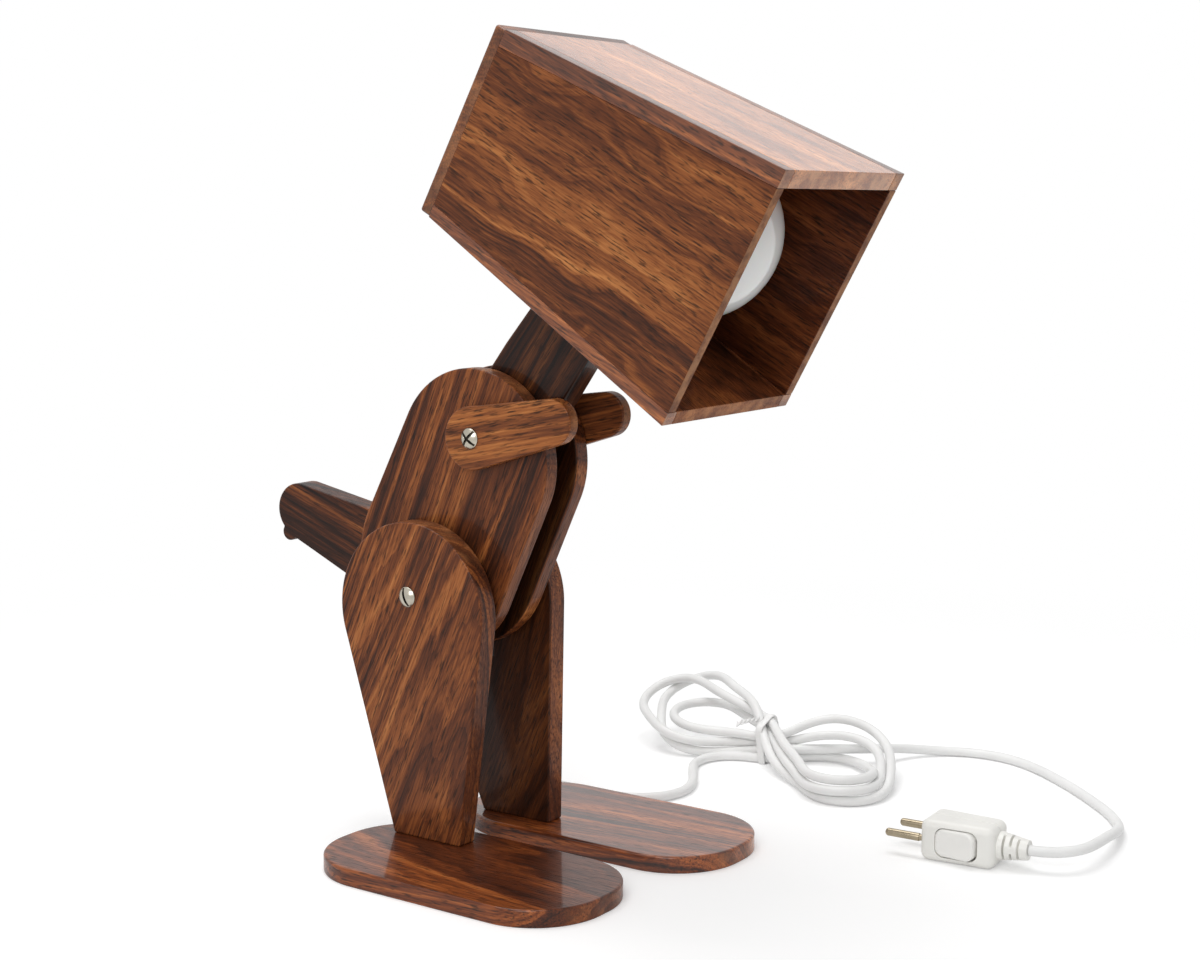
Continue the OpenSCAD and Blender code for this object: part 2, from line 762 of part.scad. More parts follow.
// A wall over the head's whole depth: z0 and z1 give its [low, high] at rim and back panel
module long_wall(z0, z1, x0, x1) { taper_block(0, back_s, z0, z1, x0, x1); }

module head_top_panel() {
  hi = [half_h(0), half_h(back_s)];
  w = [half_w(0) - edge_strip_w, half_w(back_s) - edge_strip_w];
  color("sienna") head_frame()
    long_wall([hi[0] - head_top_t, hi[0]], [hi[1] - head_top_t, hi[1]], [-w[0], w[0]], [-w[1], w[1]]);
}

module head_bottom_panel() {
  lo = [-half_h(0), -half_h(back_s)];
  w = [half_w(0) - edge_strip_w, half_w(back_s) - edge_strip_w];
  color("sienna") head_frame() difference() {
    long_wall([lo[0], lo[0] + head_bottom_t], [lo[1], lo[1] + head_bottom_t], [-w[0], w[0]], [-w[1], w[1]]);
    translate([-neck_x - slot_play, pivot_s - slot_front, -head_front_h])
      cube([neck_t + 2 * slot_play, slot_front + slot_back, head_front_h]);
  }
}

module head_side_panel() {
  hi = [half_h(0) - head_top_t, half_h(back_s) - head_top_t];
  lo = [-half_h(0) + head_bottom_t, -half_h(back_s) + head_bottom_t];
  w = [half_w(0), half_w(back_s)];
  head_frame()
    long_wall([lo[0], hi[0]], [lo[1], hi[1]], [w[0] - head_side_t, w[0]], [w[1] - head_side_t, w[1]]);
}

module head_right_panel() { color("chocolate") mirror([1, 0, 0]) head_side_panel(); }
module head_left_panel() { color("chocolate") head_side_panel(); }

module head_back_panel() {
  hi = [half_h(back_s), half_h(head_l)];
  w = [half_w(back_s), half_w(head_l)];
  color("sienna") head_frame() difference() {
    taper_block(back_s, head_l, [-hi[0], hi[0]], [-hi[1], hi[1]], [-w[0], w[0]], [-w[1], w[1]]);
    for (x = [-holder_screw_x, holder_screw_x]) translate([x, back_s - past, bulb_rise]) rotate([-90, 0, 0])
      cylinder(r = holder_screw_r + bore_fit, h = holder_screw_depth + past);
  }
}

module head_edge_strips() {
  hi = [half_h(0), half_h(back_s)];
  w = [half_w(0), half_w(back_s)];
  color("rosybrown") head_frame() mirrored_pair() {
    long_wall([hi[0] - head_top_t, hi[0]], [hi[1] - head_top_t, hi[1]],
      [w[0] - edge_strip_w, w[0]], [w[1] - edge_strip_w, w[1]]);
    long_wall([-hi[0], -hi[0] + head_bottom_t], [-hi[1], -hi[1] + head_bottom_t],
      [w[0] - edge_strip_w, w[0]], [w[1] - edge_strip_w, w[1]]);
  }
}

// Cheeks glued on the bottom panel, round about the pivot at their top
function floor_h(s) = head_bottom_t - half_h(s);

module head_cheek() {
  s0 = pivot_s - cheek_half_l;
  s1 = pivot_s + cheek_half_l;
  color("sienna") head_frame() difference() {
    plate(plate_x, cheek_t) {
      polygon([
        [s0, floor_h(s0)], [s1, floor_h(s1)],
        [pivot_s + boss_r, -pivot_drop], [pivot_s - boss_r, -pivot_drop]
      ]);
      intersection() {
        translate([pivot_s, -pivot_drop]) circle(r = boss_r);
        polygon([[s0, floor_h(s0)], [s1, floor_h(s1)], [s1, 0], [s0, 0]]);
      }
    }
    cross_bore(pivot_s, -pivot_drop, pivot_bolt_r + bore_fit, cheek_out + past);
  }
}

module head_cheek_right() { mirror([1, 0, 0]) head_cheek(); }
module head_cheek_left() { head_cheek(); }

module head_washers() {
  color("gainsboro") mirrored_pair()
    ring(head_y, head_z, head_washer_r, pivot_bolt_r + bore_fit, neck_x + play, washer_t);
}

module head_pivot_bolt() {
  shank = 2 * cheek_out + nut_l + pivot_bolt_end;
  color("silver") translate([-cheek_out, head_y, head_z]) {
    rotate([0, -90, 0]) slotted_dome(pivot_head_r, bolt_head_h, false);
    rotate([0, 90, 0]) cylinder(r = pivot_bolt_r, h = shank);
  }
}

// The wings lie along the head's floor
module head_wing_nut() {
  color("silver")
    translate([cheek_out, head_y, head_z]) rotate([head_pitch, 0, 0]) rotate([0, 90, 0]) difference() {
    union() {
      cylinder(r = nut_r, h = nut_l);
      for (side = [-1, 1]) hull() {
        translate([0, side * (nut_r - wing_sunk), nut_l / 2]) rotate([0, 90, 0])
          cylinder(r = nut_l / 2, h = wing_t, center = true, $fn = 32);
        translate([0, side * wing_l, nut_l]) rotate([0, 90, 0])
          cylinder(r = nut_l / 2, h = wing_t, center = true, $fn = 32);
      }
    }
    translate([0, 0, -nut_l]) cylinder(r = pivot_bolt_r + bore_fit, h = 4 * nut_l);
  }
}

// ---- Lamp holder and bulb ----

// Bulb axis: +Z runs back along the head, starting at distance s behind the rim
module bulb_axis(s) { head_frame() translate([0, s, bulb_rise]) rotate([-90, 0, 0]) children(); }

module lamp_holder() {
  color("white") bulb_axis(holder_front) difference() {
    union() {
      cylinder(r = holder_r, h = holder_l);
      translate([0, 0, holder_l - holder_flange_t]) cylinder(r = holder_flange_r, h = holder_flange_t);
    }
    translate([0, 0, -past]) cylinder(r = cap_r + 2 * bore_fit + sleeve_t, h = holder_bore_l + past);
    for (x = [-holder_screw_x, holder_screw_x])
      translate([x, 0, holder_l - 2 * holder_flange_t]) cylinder(r = holder_screw_r + bore_fit, h = holder_l);
  }
}

// The threaded sleeve in the bore and the tongue that presses on the bulb's end
module lamp_holder_contacts() {
  cap_end = cap_front + cap_l + cap_tip_l - holder_front;
  color("gold") bulb_axis(holder_front) {
    translate([0, 0, holder_bore_l - sleeve_contact_l - sleeve_contact_back]) difference() {
      cylinder(r = cap_r + bore_fit + sleeve_t, h = sleeve_contact_l);
      translate([0, 0, -past]) cylinder(r = cap_r + bore_fit, h = sleeve_contact_l + 2 * past);
    }
    translate([0, 0, cap_end]) cylinder(r = tongue_r, h = holder_bore_l - cap_end);
  }
}

module lamp_holder_screws() {
  color("silver") for (x = [-holder_screw_x, holder_screw_x]) bulb_axis(back_s) translate([x, 0, 0]) {
    translate([0, 0, -holder_flange_t - holder_screw_head_h])
      cylinder(r = holder_screw_head_r, h = holder_screw_head_h);
    translate([0, 0, -holder_flange_t])
      cylinder(r = holder_screw_r, h = holder_flange_t + holder_screw_depth - bolt_end_gap);
  }
}

// Glass globe, open at the back where the collar closes it
module bulb_globe() {
  color("ivory") bulb_axis(globe_s) difference() {
    sphere(r = globe_r);
    sphere(r = globe_r - glass_t);
    translate([0, 0, globe_rear_l]) cylinder(r = globe_r, h = globe_r);
  }
}

module bulb_collar() {
  seat_r = sqrt(globe_r * globe_r - globe_rear_l * globe_rear_l);
  color("ivory") bulb_axis(globe_s + globe_rear_l) difference() {
    cylinder(r1 = seat_r, r2 = collar_end_r, h = collar_l);
    translate([0, 0, -joined])
      cylinder(r1 = seat_r - collar_wall, r2 = collar_end_r - collar_wall, h = collar_l - collar_wall);
  }
}

module bulb_cap() {
  color("silver") bulb_axis(cap_front) {
    cylinder(r = cap_r, h = cap_l);
    translate([0, 0, cap_l])
      cylinder(r1 = cap_r - cap_shoulder, r2 = cap_contact_r + cap_shoulder, h = cap_tip_l - cap_contact_h);
    translate([0, 0, cap_l + cap_tip_l - cap_contact_h]) cylinder(r = cap_contact_r, h = cap_contact_h);
  }
}

// A point of the head frame, as [x, y, z]
function in_head(s, h) = [
  0,
  head_y + (s - pivot_s) * cos(head_pitch) - (h + pivot_drop) * sin(head_pitch),
  head_z + (s - pivot_s) * sin(head_pitch) + (h + pivot_drop) * cos(head_pitch)
];

// The lead leaves the holder downwards and comes forward to the neck's boss
module head_lead() {
  seat_h = bulb_rise - holder_r - play;
  color("whitesmoke") tube([
    in_head(pivot_s + 1.55 * boss_r, 0.8 * boss_r - pivot_drop),
    in_head(pivot_s + 2.1 * boss_r, boss_r - pivot_drop),
    in_head(pivot_s + 2.9 * boss_r, 1.12 * boss_r - pivot_drop),
    in_head(pivot_s + 3.55 * boss_r, 1.3 * boss_r - pivot_drop),
    in_head(pivot_s + 3.87 * boss_r, 1.65 * boss_r - pivot_drop),
    in_head(pivot_s + 3.93 * boss_r, seat_h)
  ], cord_r, [1, 0, 0]);
}

// ---- Cord ----

module cord_lamp_side() { color("whitesmoke") tube(LAMP_SIDE, cord_r, [1, 0, 0]); }
module cord_plug_side() { color("whitesmoke") tube(PLUG_SIDE, cord_r, [0, 0, 1]); }

// Frame of the tie: origin on the floor below the waist, +Y along the hank
module tie_frame() { translate([HANK_WAIST[0], HANK_WAIST[1], 0]) rotate(-hank_turn) children(); }

module tie_block(w, z0, h, l) { translate([-w / 2, -l / 2, z0]) cube([w, l, h]); }

module cord_hank() {
  seat_w = 2 * hank_waist_r - 2 * (tie_t + tie_fit);
  color("whitesmoke") difference() {
    linear_extrude(height = hank_h) {
      link_between(HANK_WAIST, hank_waist_r, HANK_LEFT, hank_lobe_r);
      link_between(HANK_WAIST, hank_waist_r, HANK_RIGHT, hank_lobe_r);
    }
    tie_frame() difference() {
      tie_block(3 * hank_lobe_r, -past, hank_h + 2 * past, tie_w + 2 * tie_fit);
      tie_block(seat_w, tie_t + tie_fit, hank_h - 2 * (tie_t + tie_fit), 2 * tie_w);
    }
  }
}

module cord_tie() {
  color("white") tie_frame() difference() {
    tie_block(2 * hank_waist_r, 0, hank_h, tie_w);
    tie_block(2 * hank_waist_r - 2 * tie_t, tie_t, hank_h - 2 * tie_t, 2 * tie_w);
  }
}

// ---- Plug with switch ----

module plug_frame() { translate(plug_at) rotate(plug_turn) children(); }

// A rounded tapering block from the pin face back to the cord; inset makes the cavity
module plug_block(inset) {
  r = plug_corner_r - inset;
  hull() for (end = [[-inset, plug_w], [-plug_l + inset, plug_cord_w]], sx = [-1, 1], sz = [-1, 1]) {
    s = end[0] == -inset ? -1 : 1;
    translate([sx * (end[1] / 2 - inset - r), end[0] + s * r, sz * (plug_h / 2 - inset - r)])
      sphere(r = r, $fn = 32);
  }
}

// Opening in the outer wall that the rocker sits in
module rocker_opening(gap) {
  translate([-plug_w, rocker_at - rocker_l / 2 - gap, -rocker_h / 2 - gap])
    cube([plug_w, rocker_l + 2 * gap, rocker_h + 2 * gap]);
}

module plug_body() {
  difference() {
    plug_block(0);
    plug_block(plug_wall);
    for (x = [-pin_gap / 2, pin_gap / 2])
      translate([x, -plug_l / 2, 0]) rotate([-90, 0, 0]) cylinder(r = pin_shank_r + bore_fit, h = plug_l);
    translate([0, -plug_l / 2, 0]) rotate([90, 0, 0]) cylinder(r = relief_r + bore_fit, h = plug_l);
  }
}

// The seam between the shells stands upright in the middle of the plug
module plug_half(side) {
  intersection() {
    plug_body();
    translate([side < 0 ? -plug_w : 0, -2 * plug_l, -plug_h]) cube([plug_w, 3 * plug_l, 2 * plug_h]);
  }
}

module plug_shell_outer() {
  color("white") plug_frame() difference() {
    plug_half(-1);
    rocker_opening(rocker_gap);
  }
}

module plug_shell_inner() { color("white") plug_frame() plug_half(1); }

module plug_pins() {
  color("silver") plug_frame() for (side = [-1, 1]) rotate([-90, 0, 0]) {
    translate([side * pin_gap / 2, 0, pin_shank_l]) cylinder(r = pin_r, h = pin_l - pin_shank_l);
    translate([side * pin_gap / 2, 0, -plug_wall - joined])
      cylinder(r = pin_shank_r, h = plug_wall + pin_shank_l + 2 * joined);
    translate([side * pin_base_x, 0, -plug_wall - pin_base_l]) cylinder(r = pin_base_r, h = pin_base_l);
  }
}

// Two strips that carry the current from the pins past the switch to the cord
module plug_contacts() {
  start = plug_wall + pin_base_l;
  length = plug_l - start - relief_root_l;
  behind_x = rocker_x + strip_behind;
  color("gold") plug_frame() translate([0, -start, -strip_h / 2]) {
    translate([pin_base_x - strip_t / 2, -length, 0]) cube([strip_t, length, strip_h]);
    translate([-pin_base_x, -strip_t, 0]) cube([behind_x + pin_base_x, strip_t, strip_h]);
    translate([behind_x - strip_t, -length, 0]) cube([strip_t, length, strip_h]);
  }
}

// The rocker stands tipped by half its travel, on two stub pins that reach to the shell
module plug_rocker() {
  face = -rocker_t;
  half = rocker_l / 2;
  pin_top = plug_h / 2 - plug_wall - rocker_pin_gap;
  color("white") plug_frame() translate([rocker_x, rocker_at, 0]) rotate([0, 0, -rocker_travel / 2]) {
    linear_extrude(height = rocker_h, center = true) polygon([
      [0, 2 - half], [0, half - 2], [face + rocker_rim, half - rocker_lip], [face - rocker_lip, half - 1],
      [face + rocker_dip, 0], [face - rocker_lip, 1 - half], [face + rocker_rim, rocker_lip - half]
    ]);
    for (end = [0, 1]) mirror([0, 0, end]) translate([0, 0, rocker_h / 2 - rocker_pin_r])
      cylinder(r = rocker_pin_r, h = pin_top - rocker_h / 2 + rocker_pin_r);
  }
}

module plug_strain_relief() {
  step = relief_l / relief_ribs;
  color("white") plug_frame() translate([0, -plug_l, 0]) rotate([90, 0, 0]) difference() {
    union() {
      translate([0, 0, -relief_root_l]) cylinder(r = relief_r, h = relief_root_l + joined);
      cylinder(r1 = relief_r, r2 = relief_tip_r, h = relief_l);
    }
    for (k = [0:relief_ribs - 2]) translate([0, 0, (k + relief_groove_at) * step]) difference() {
      cylinder(r = 2 * relief_r, h = relief_groove_w);
      translate([0, 0, -past])
        cylinder(r = relief_tip_r - relief_groove_depth, h = relief_groove_w + 2 * past);
    }
  }
}

body_plate_right();
body_plate_left();
shoulder_bolt();
shoulder_screw();
hip_bolt();
hip_screw();
neck_washers();
tail_washers();
arm_washers();
leg_spacers();
cord_gland();
gland_sleeve();
body_lead();
neck();
neck_lead();
tail();
arm_right();
arm_left();
leg_right();
leg_left();
foot_right();
foot_left();
foot_screws_right();
foot_screws_left();
head_top_panel();
head_bottom_panel();
head_right_panel();
head_left_panel();
head_back_panel();
head_edge_strips();
head_cheek_right();
head_cheek_left();
head_washers();
head_pivot_bolt();
head_wing_nut();
head_lead();
lamp_holder();
lamp_holder_contacts();
lamp_holder_screws();
bulb_globe();
bulb_collar();
bulb_cap();
cord_lamp_side();
cord_hank();
cord_tie();
cord_plug_side();
plug_strain_relief();
plug_shell_outer();
plug_shell_inner();
plug_pins();
plug_contacts();
plug_rocker();
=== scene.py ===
# %% [markdown]
# A posable wooden desk lamp, finished in Blender. The solids come packed from the construction
# model; each lesson below takes one piece of the real lamp and gives it the shape and finish
# that a maker would see: rounded edges on sawn boards, grain that follows each board, domed
# nickel bolts, an opal bulb, and a soft white mains cord tied in a hank.

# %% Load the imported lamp
import math

import bmesh
import bpy
import numpy as np
from mathutils import Matrix, Vector
from mathutils.geometry import tessellate_polygon


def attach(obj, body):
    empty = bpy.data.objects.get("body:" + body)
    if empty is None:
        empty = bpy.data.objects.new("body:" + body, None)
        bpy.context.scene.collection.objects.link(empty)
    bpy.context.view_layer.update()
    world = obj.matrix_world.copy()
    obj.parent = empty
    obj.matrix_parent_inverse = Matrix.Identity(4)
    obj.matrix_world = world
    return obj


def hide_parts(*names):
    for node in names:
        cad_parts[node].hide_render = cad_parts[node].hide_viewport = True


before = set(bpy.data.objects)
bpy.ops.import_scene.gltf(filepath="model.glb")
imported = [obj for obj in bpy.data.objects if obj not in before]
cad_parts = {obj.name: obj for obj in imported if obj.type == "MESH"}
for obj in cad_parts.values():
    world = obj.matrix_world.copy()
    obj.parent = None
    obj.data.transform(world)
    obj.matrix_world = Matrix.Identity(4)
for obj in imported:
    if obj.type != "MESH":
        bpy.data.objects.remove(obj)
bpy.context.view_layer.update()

MM = 0.001
scene = bpy.context.scene
scene.view_settings.view_transform = "Standard"

# %% [markdown]
# The camera comes first, because every later choice is judged through it. A portrait lens of
# 59 mm from about a metre away keeps the box head's edges nearly parallel. The camera's own
# axes are worked out from the line of sight and the world's up direction.

# %% Camera
def placed(name, data):
    """An object at the origin that shows this camera, lamp, curve or mesh."""
    made = bpy.data.objects.new(name, data)
    scene.collection.objects.link(made)
    return made


eye = Vector((-0.75739, -0.56179, 0.31909))
backwards = Vector((-0.8141, -0.5641, 0.1379)).normalized()
rightwards = Vector((0, 0, 1)).cross(backwards).normalized()
upwards = backwards.cross(rightwards)
roll = math.radians(0.139)
turned_right = rightwards * math.cos(roll) + upwards * math.sin(roll)
turned_up = backwards.cross(turned_right)
lens = bpy.data.cameras.new("desk_camera")
lens.sensor_width = 36.0
lens.lens = 59.07
lens.clip_start, lens.clip_end = 0.05, 20.0
camera = placed("desk_camera", lens)
axes = Matrix((turned_right, turned_up, backwards)).transposed().to_4x4()
camera.matrix_world = Matrix.Translation(eye) @ axes
scene.camera = camera
print("camera height", round(eye.z, 3), "m, lens", lens.lens, "mm")

# %% [markdown]
# A cord is a fixed length of something flexible, so it is made from its centreline. A route is
# given by a few points, a smooth curve is passed through them, and the curve is cut into equal
# steps. The helpers below work on whole arrays of points at once.

# %% Curve helpers
def smooth_line(points, per_span=10):
    """Catmull-Rom curve: a cubic between two points, tangent to the chords of their neighbours."""
    p = np.asarray(points, float)
    p = np.vstack([2 * p[0] - p[1], p, 2 * p[-1] - p[-2]])
    t = np.linspace(0, 1, per_span, endpoint=False)[None, :, None]
    a, b, c, d = (p[k : len(p) - 3 + k, None, :] for k in range(4))
    bend, twist = 2 * a - 5 * b + 4 * c - d, 3 * b - a - 3 * c + d
    line = 0.5 * (2 * b + (c - a) * t + bend * t**2 + twist * t**3)
    return np.vstack([line.reshape(-1, p.shape[1]), p[-2]])


def along(line):
    """Distance along the line at each of its points: the running sum of the steps."""
    return np.r_[0, np.cumsum(np.linalg.norm(np.diff(line, axis=0), axis=1))]


def equal_steps(line, step):
    """The same line cut into equal steps by linear interpolation over its length."""
    s = along(line)
    t = np.linspace(0, s[-1], int(round(s[-1] / step)) + 1)
    return np.stack([np.interp(t, s, line[:, k]) for k in range(line.shape[1])], 1)


def unit(rows):
    """Each row divided by its length."""
    return rows / np.linalg.norm(rows, axis=1)[:, None]


def evened(line, reach):
    """A weighted mean over reach neighbours on each side, which keeps both ends."""
    before, after = 2 * line[0] - line[reach:0:-1], 2 * line[-1] - line[-2 : -reach - 2 : -1]
    padded = np.vstack([before, line, after])
    weight = np.hanning(2 * reach + 3)[1:-1]
    weight /= weight.sum()
    return np.stack([np.convolve(padded[:, k], weight, "valid") for k in range(line.shape[1])], 1)

# %% [markdown]
# The mains cord leaves the gland between the body plates, drops to the table between the feet,
# passes behind the left heel and along the left foot, is wound into a figure-of-eight hank,
# and ends in a plug with a switch. The three stretches repeat the route of the construction
# model, in millimetres here and in metres once they are joined.

# %% Route of the cord
CORD_D = 5.4
LAMP_SIDE = [
    [0, 40, 73], [0, 40, 62], [0, 40, 50], [0, 41, 38], [0, 44, 27], [0, 50, 17.5], [0, 58, 10.5],
    [0, 67.5, 5.5], [0.5, 78, 3], [3, 89, 2.7], [9, 99, 2.7], [18.5, 105.5, 2.7], [30, 108, 2.7],
    [41.5, 108, 2.7], [53, 108, 2.7], [65, 108, 2.7], [76.5, 105.5, 2.7], [86, 99, 2.7],
    [92.5, 89.5, 2.7], [95, 78, 2.7], [95, 64, 2.7], [95, 50, 2.7], [95, 36, 2.7], [95, 23, 2.7],
    [97.5, 11.5, 2.7], [104, 2, 2.7], [113.5, -4.5, 2.7], [125, -6.5, 2.7], [136.5, -4, 2.7],
    [146.5, 1, 2.7], [156, 7, 2.7], [165.5, 13, 2.7], [174.5, 18, 2.7],
]
PLUG_SIDE = [
    [249, -68, 8.3], [258, -71.5, 6.6], [267, -76.5, 5], [275, -83.5, 3.6], [282, -92.5, 2.8],
    [286.5, -103, 2.7], [288, -115, 2.7], [286.5, -127.5, 2.7], [281.5, -140, 2.7],
    [274, -152, 2.7], [264.5, -164.5, 2.7], [254, -177, 2.7], [243, -189, 2.7],
    [231.5, -200.5, 2.7], [220, -211, 2.7], [208, -219.5, 3], [195.5, -225.5, 4.4],
    [183, -229, 6.4], [171, -231, 8.4], [160, -232, 9.8], [150, -232.5, 10.6],
    [140.5, -232.3, 11], [131.5, -230.4, 11], [124, -225.5, 10.8], [119, -218, 10.6],
    [117, -209.2, 10.5],
]
# The hank's points, in the order in which the cord is wound round its two lobes
HANK = [
    [174.5, 18, 2.7], [183, 21, 2.7], [193, 20, 2.7], [200, 12, 2.7], [204, 2, 2.7], [207, -11, 2.7],
    [213, -25, 3], [232, -33, 3], [228, -51, 3.5], [223, -65, 4.5], [203, -82, 8], [176, -91, 11],
    [158, -92, 13], [151, -87, 13.5], [165, -66, 14], [194, -27, 17.5], [213, -11, 24], [221, 2, 27],
    [222, 20, 29], [231, 41, 31.5], [237, 60, 33], [241, 76, 32], [232, 82, 28.5], [216, 78, 23],
    [197, 63, 18], [187, 48, 13], [187, 37, 9.5], [195, 26, 8.5], [209, 14, 8.5], [214, -11, 8.5],
    [216, -26, 11.5], [220, -26, 16], [221, -42, 19], [226, -55, 19.5], [229, -65, 18], [221, -77, 15],
    [206, -86, 11.5], [183, -92, 9], [159, -93, 8.5], [149, -87, 8], [159, -67, 8], [192, -27, 12],
    [211, -11, 18.5], [220, 2, 19.5], [231, 28, 20.5], [241, 50, 22], [235, 57, 22], [222, 57, 20.5],
    [207, 51, 18.5], [199, 42, 16], [199, 30, 14.5], [205, 18, 14], [212, 8, 13.5], [211, -11, 13.5],
    [216, -26, 17.5], [222, -21, 21.5], [226, -36, 25.5], [232, -49, 27], [238, -60, 24],
    [234, -73, 18.5], [218, -85, 13], [193, -95, 7.5], [172, -97, 3.5], [155, -93, 3], [153, -78, 2.7],
    [173, -54, 2.7], [186, -26, 6.5], [199, -17, 12.5], [208, -11, 20.5], [217, -3, 28], [224, 7, 32],
    [227, 20, 34], [245, 43, 35.5], [251, 60, 35], [248, 70, 32], [234, 72, 27], [218, 67, 20.5],
    [202, 58, 13.5], [190, 48, 8], [187, 38, 4], [195, 27, 3], [208, 14, 3], [209, 1, 5],
    [208, -11, 8.5], [215, -25, 9.5], [224, -37, 9.5], [229, -52, 9], [240, -60, 8.5], [249, -68, 8.3],
]
print("points on the route:", len(LAMP_SIDE), len(HANK), len(PLUG_SIDE))

# %% [markdown]
# Wound by hand, the strands of a hank press on each other and settle: none lies in another,
# none bends tighter than the cord allows, and none sinks into the table. That is worked out as
# a small rod simulation. In each round, points that are too close push apart, chords that are
# shorter than on the tightest arc are stretched, and then every step gets its length back.

# %% Let the hank settle
def settled(line, gap, bend, rounds):
    """Rod relaxation in rounds.

    Pairs of points nearer than gap part by half of what is missing. A chord over m steps is
    kept at least 2 * bend * sin(m * step / (2 * bend)) long, and neighbours keep their step.
    """
    p, home, count = line.copy(), line.copy(), len(line)
    index = np.arange(count)
    step = np.linalg.norm(np.diff(p, axis=0), axis=1).mean()
    free = ((index > 2) & (index < count - 3))[:, None].astype(float)
    strangers = np.abs(index[:, None] - index[None]) > math.ceil(2.2 * gap / step)
    for turn in range(rounds):
        away = p[:, None] - p[None]
        dist = np.sqrt((away**2).sum(2)) + 1e-9
        short = np.where(strangers & (dist < gap), gap - dist, 0)
        worst = short.argmax(1)
        push = (0.5 * short[index, worst] / dist[index, worst])[:, None] * away[index, worst]
        p += (push + np.roll(push, 1, 0) + np.roll(push, -1, 0)) / 2.2 * free
        p += 0.02 * (1 - turn / rounds) * (home - p) * free
        for m in (2, 4, 7, 11):
            chord = p[m:] - p[:-m]
            size = np.linalg.norm(chord, axis=1)[:, None] + 1e-9
            least = 2 * bend * math.sin(m * step / (2 * bend))
            part = 0.4 * np.clip(least - size, 0, None) / size * chord
            move = np.zeros_like(p)
            move[m:] += part
            move[:-m] -= part
            p += move * free
        for start in (0, 1) * 4:
            one, two = p[start:-1:2], p[start + 1 :: 2]
            link = two - one[: len(two)]
            size = np.linalg.norm(link, axis=1)[:, None] + 1e-9
            part = 0.5 * (size - step) / size * link
            move = np.zeros_like(p)
            move[start + 1 :: 2] -= part
            move[start:-1:2][: len(part)] += part
            p += move * free
        bent = np.zeros_like(p)
        bent[1:-1] = (p[:-2] + p[2:]) / 2 - p[1:-1]
        even = bent.copy()
        even[1:-1] = (bent[:-2] + bent[2:]) / 2
        p += 0.4 * (bent - even) * free
        p[:, 2] = np.maximum(p[:, 2], CORD_D / 2)
    return p

# %% [markdown]
# Winding takes two passes: a long one that frees the strands, then a short one after the line
# has been evened. The three stretches become one centreline, and its tightest bend is measured,
# because a cord of this kind kinks when it is bent round less than three of its diameters.

# %% Wind the hank and join the cord
COARSE, FINE_STEP, TIGHTEST, APART = 3.0, 2.2, 21.5, 1.07 * CORD_D
wound = equal_steps(evened(equal_steps(smooth_line(HANK, 8), COARSE), 3), COARSE)
for rounds, reach in ((200, 8), (120, 3)):
    wound = evened(settled(wound, APART, TIGHTEST, rounds), reach)
lamp_side, plug_side = (equal_steps(smooth_line(route), COARSE) for route in (LAMP_SIDE, PLUG_SIDE))
whole = np.vstack([lamp_side[:-1], wound, plug_side[1:]])
centreline = equal_steps(evened(whole, 3), FINE_STEP)
centreline[:, 2] = np.maximum(centreline[:, 2], CORD_D / 2)
# Radius of a bend = length of an arc over the angle between the directions at its ends
heading = unit(np.diff(centreline, axis=0))
turns = np.linalg.norm(heading[4:] - heading[:-4], axis=1)
bends = 4 * FINE_STEP / np.maximum(turns, 1e-6)
print("tightest bend", bends.min().round(1), "mm at", centreline[bends.argmin()].round(0))
centreline = centreline * MM

# %% [markdown]
# A curve object sweeps a round section along its points by itself, and its caps close both
# ends. So the cord stays one line that can be measured, instead of a mesh tube.

# %% The cord as one tube
cord_curve = bpy.data.curves.new("mains_cord", "CURVE")
cord_curve.dimensions = "3D"
cord_curve.bevel_depth = CORD_D / 2 * MM
cord_curve.bevel_resolution = 5
cord_curve.use_fill_caps = True
spline = cord_curve.splines.new("POLY")
spline.points.add(len(centreline) - 1)
spline.points.foreach_set("co", np.c_[centreline, np.ones(len(centreline))].ravel())
spline.use_smooth = True
mains_cord = placed("mains_cord", cord_curve)
print("cord points", len(spline.points))

# %% [markdown]
# Every finish below is a short piece of maths on the surface. To write it as maths, a small
# class stands for one output of a shader node, and adding or multiplying two of them adds the
# Math node that does it. Any other node comes from the one method `node`.

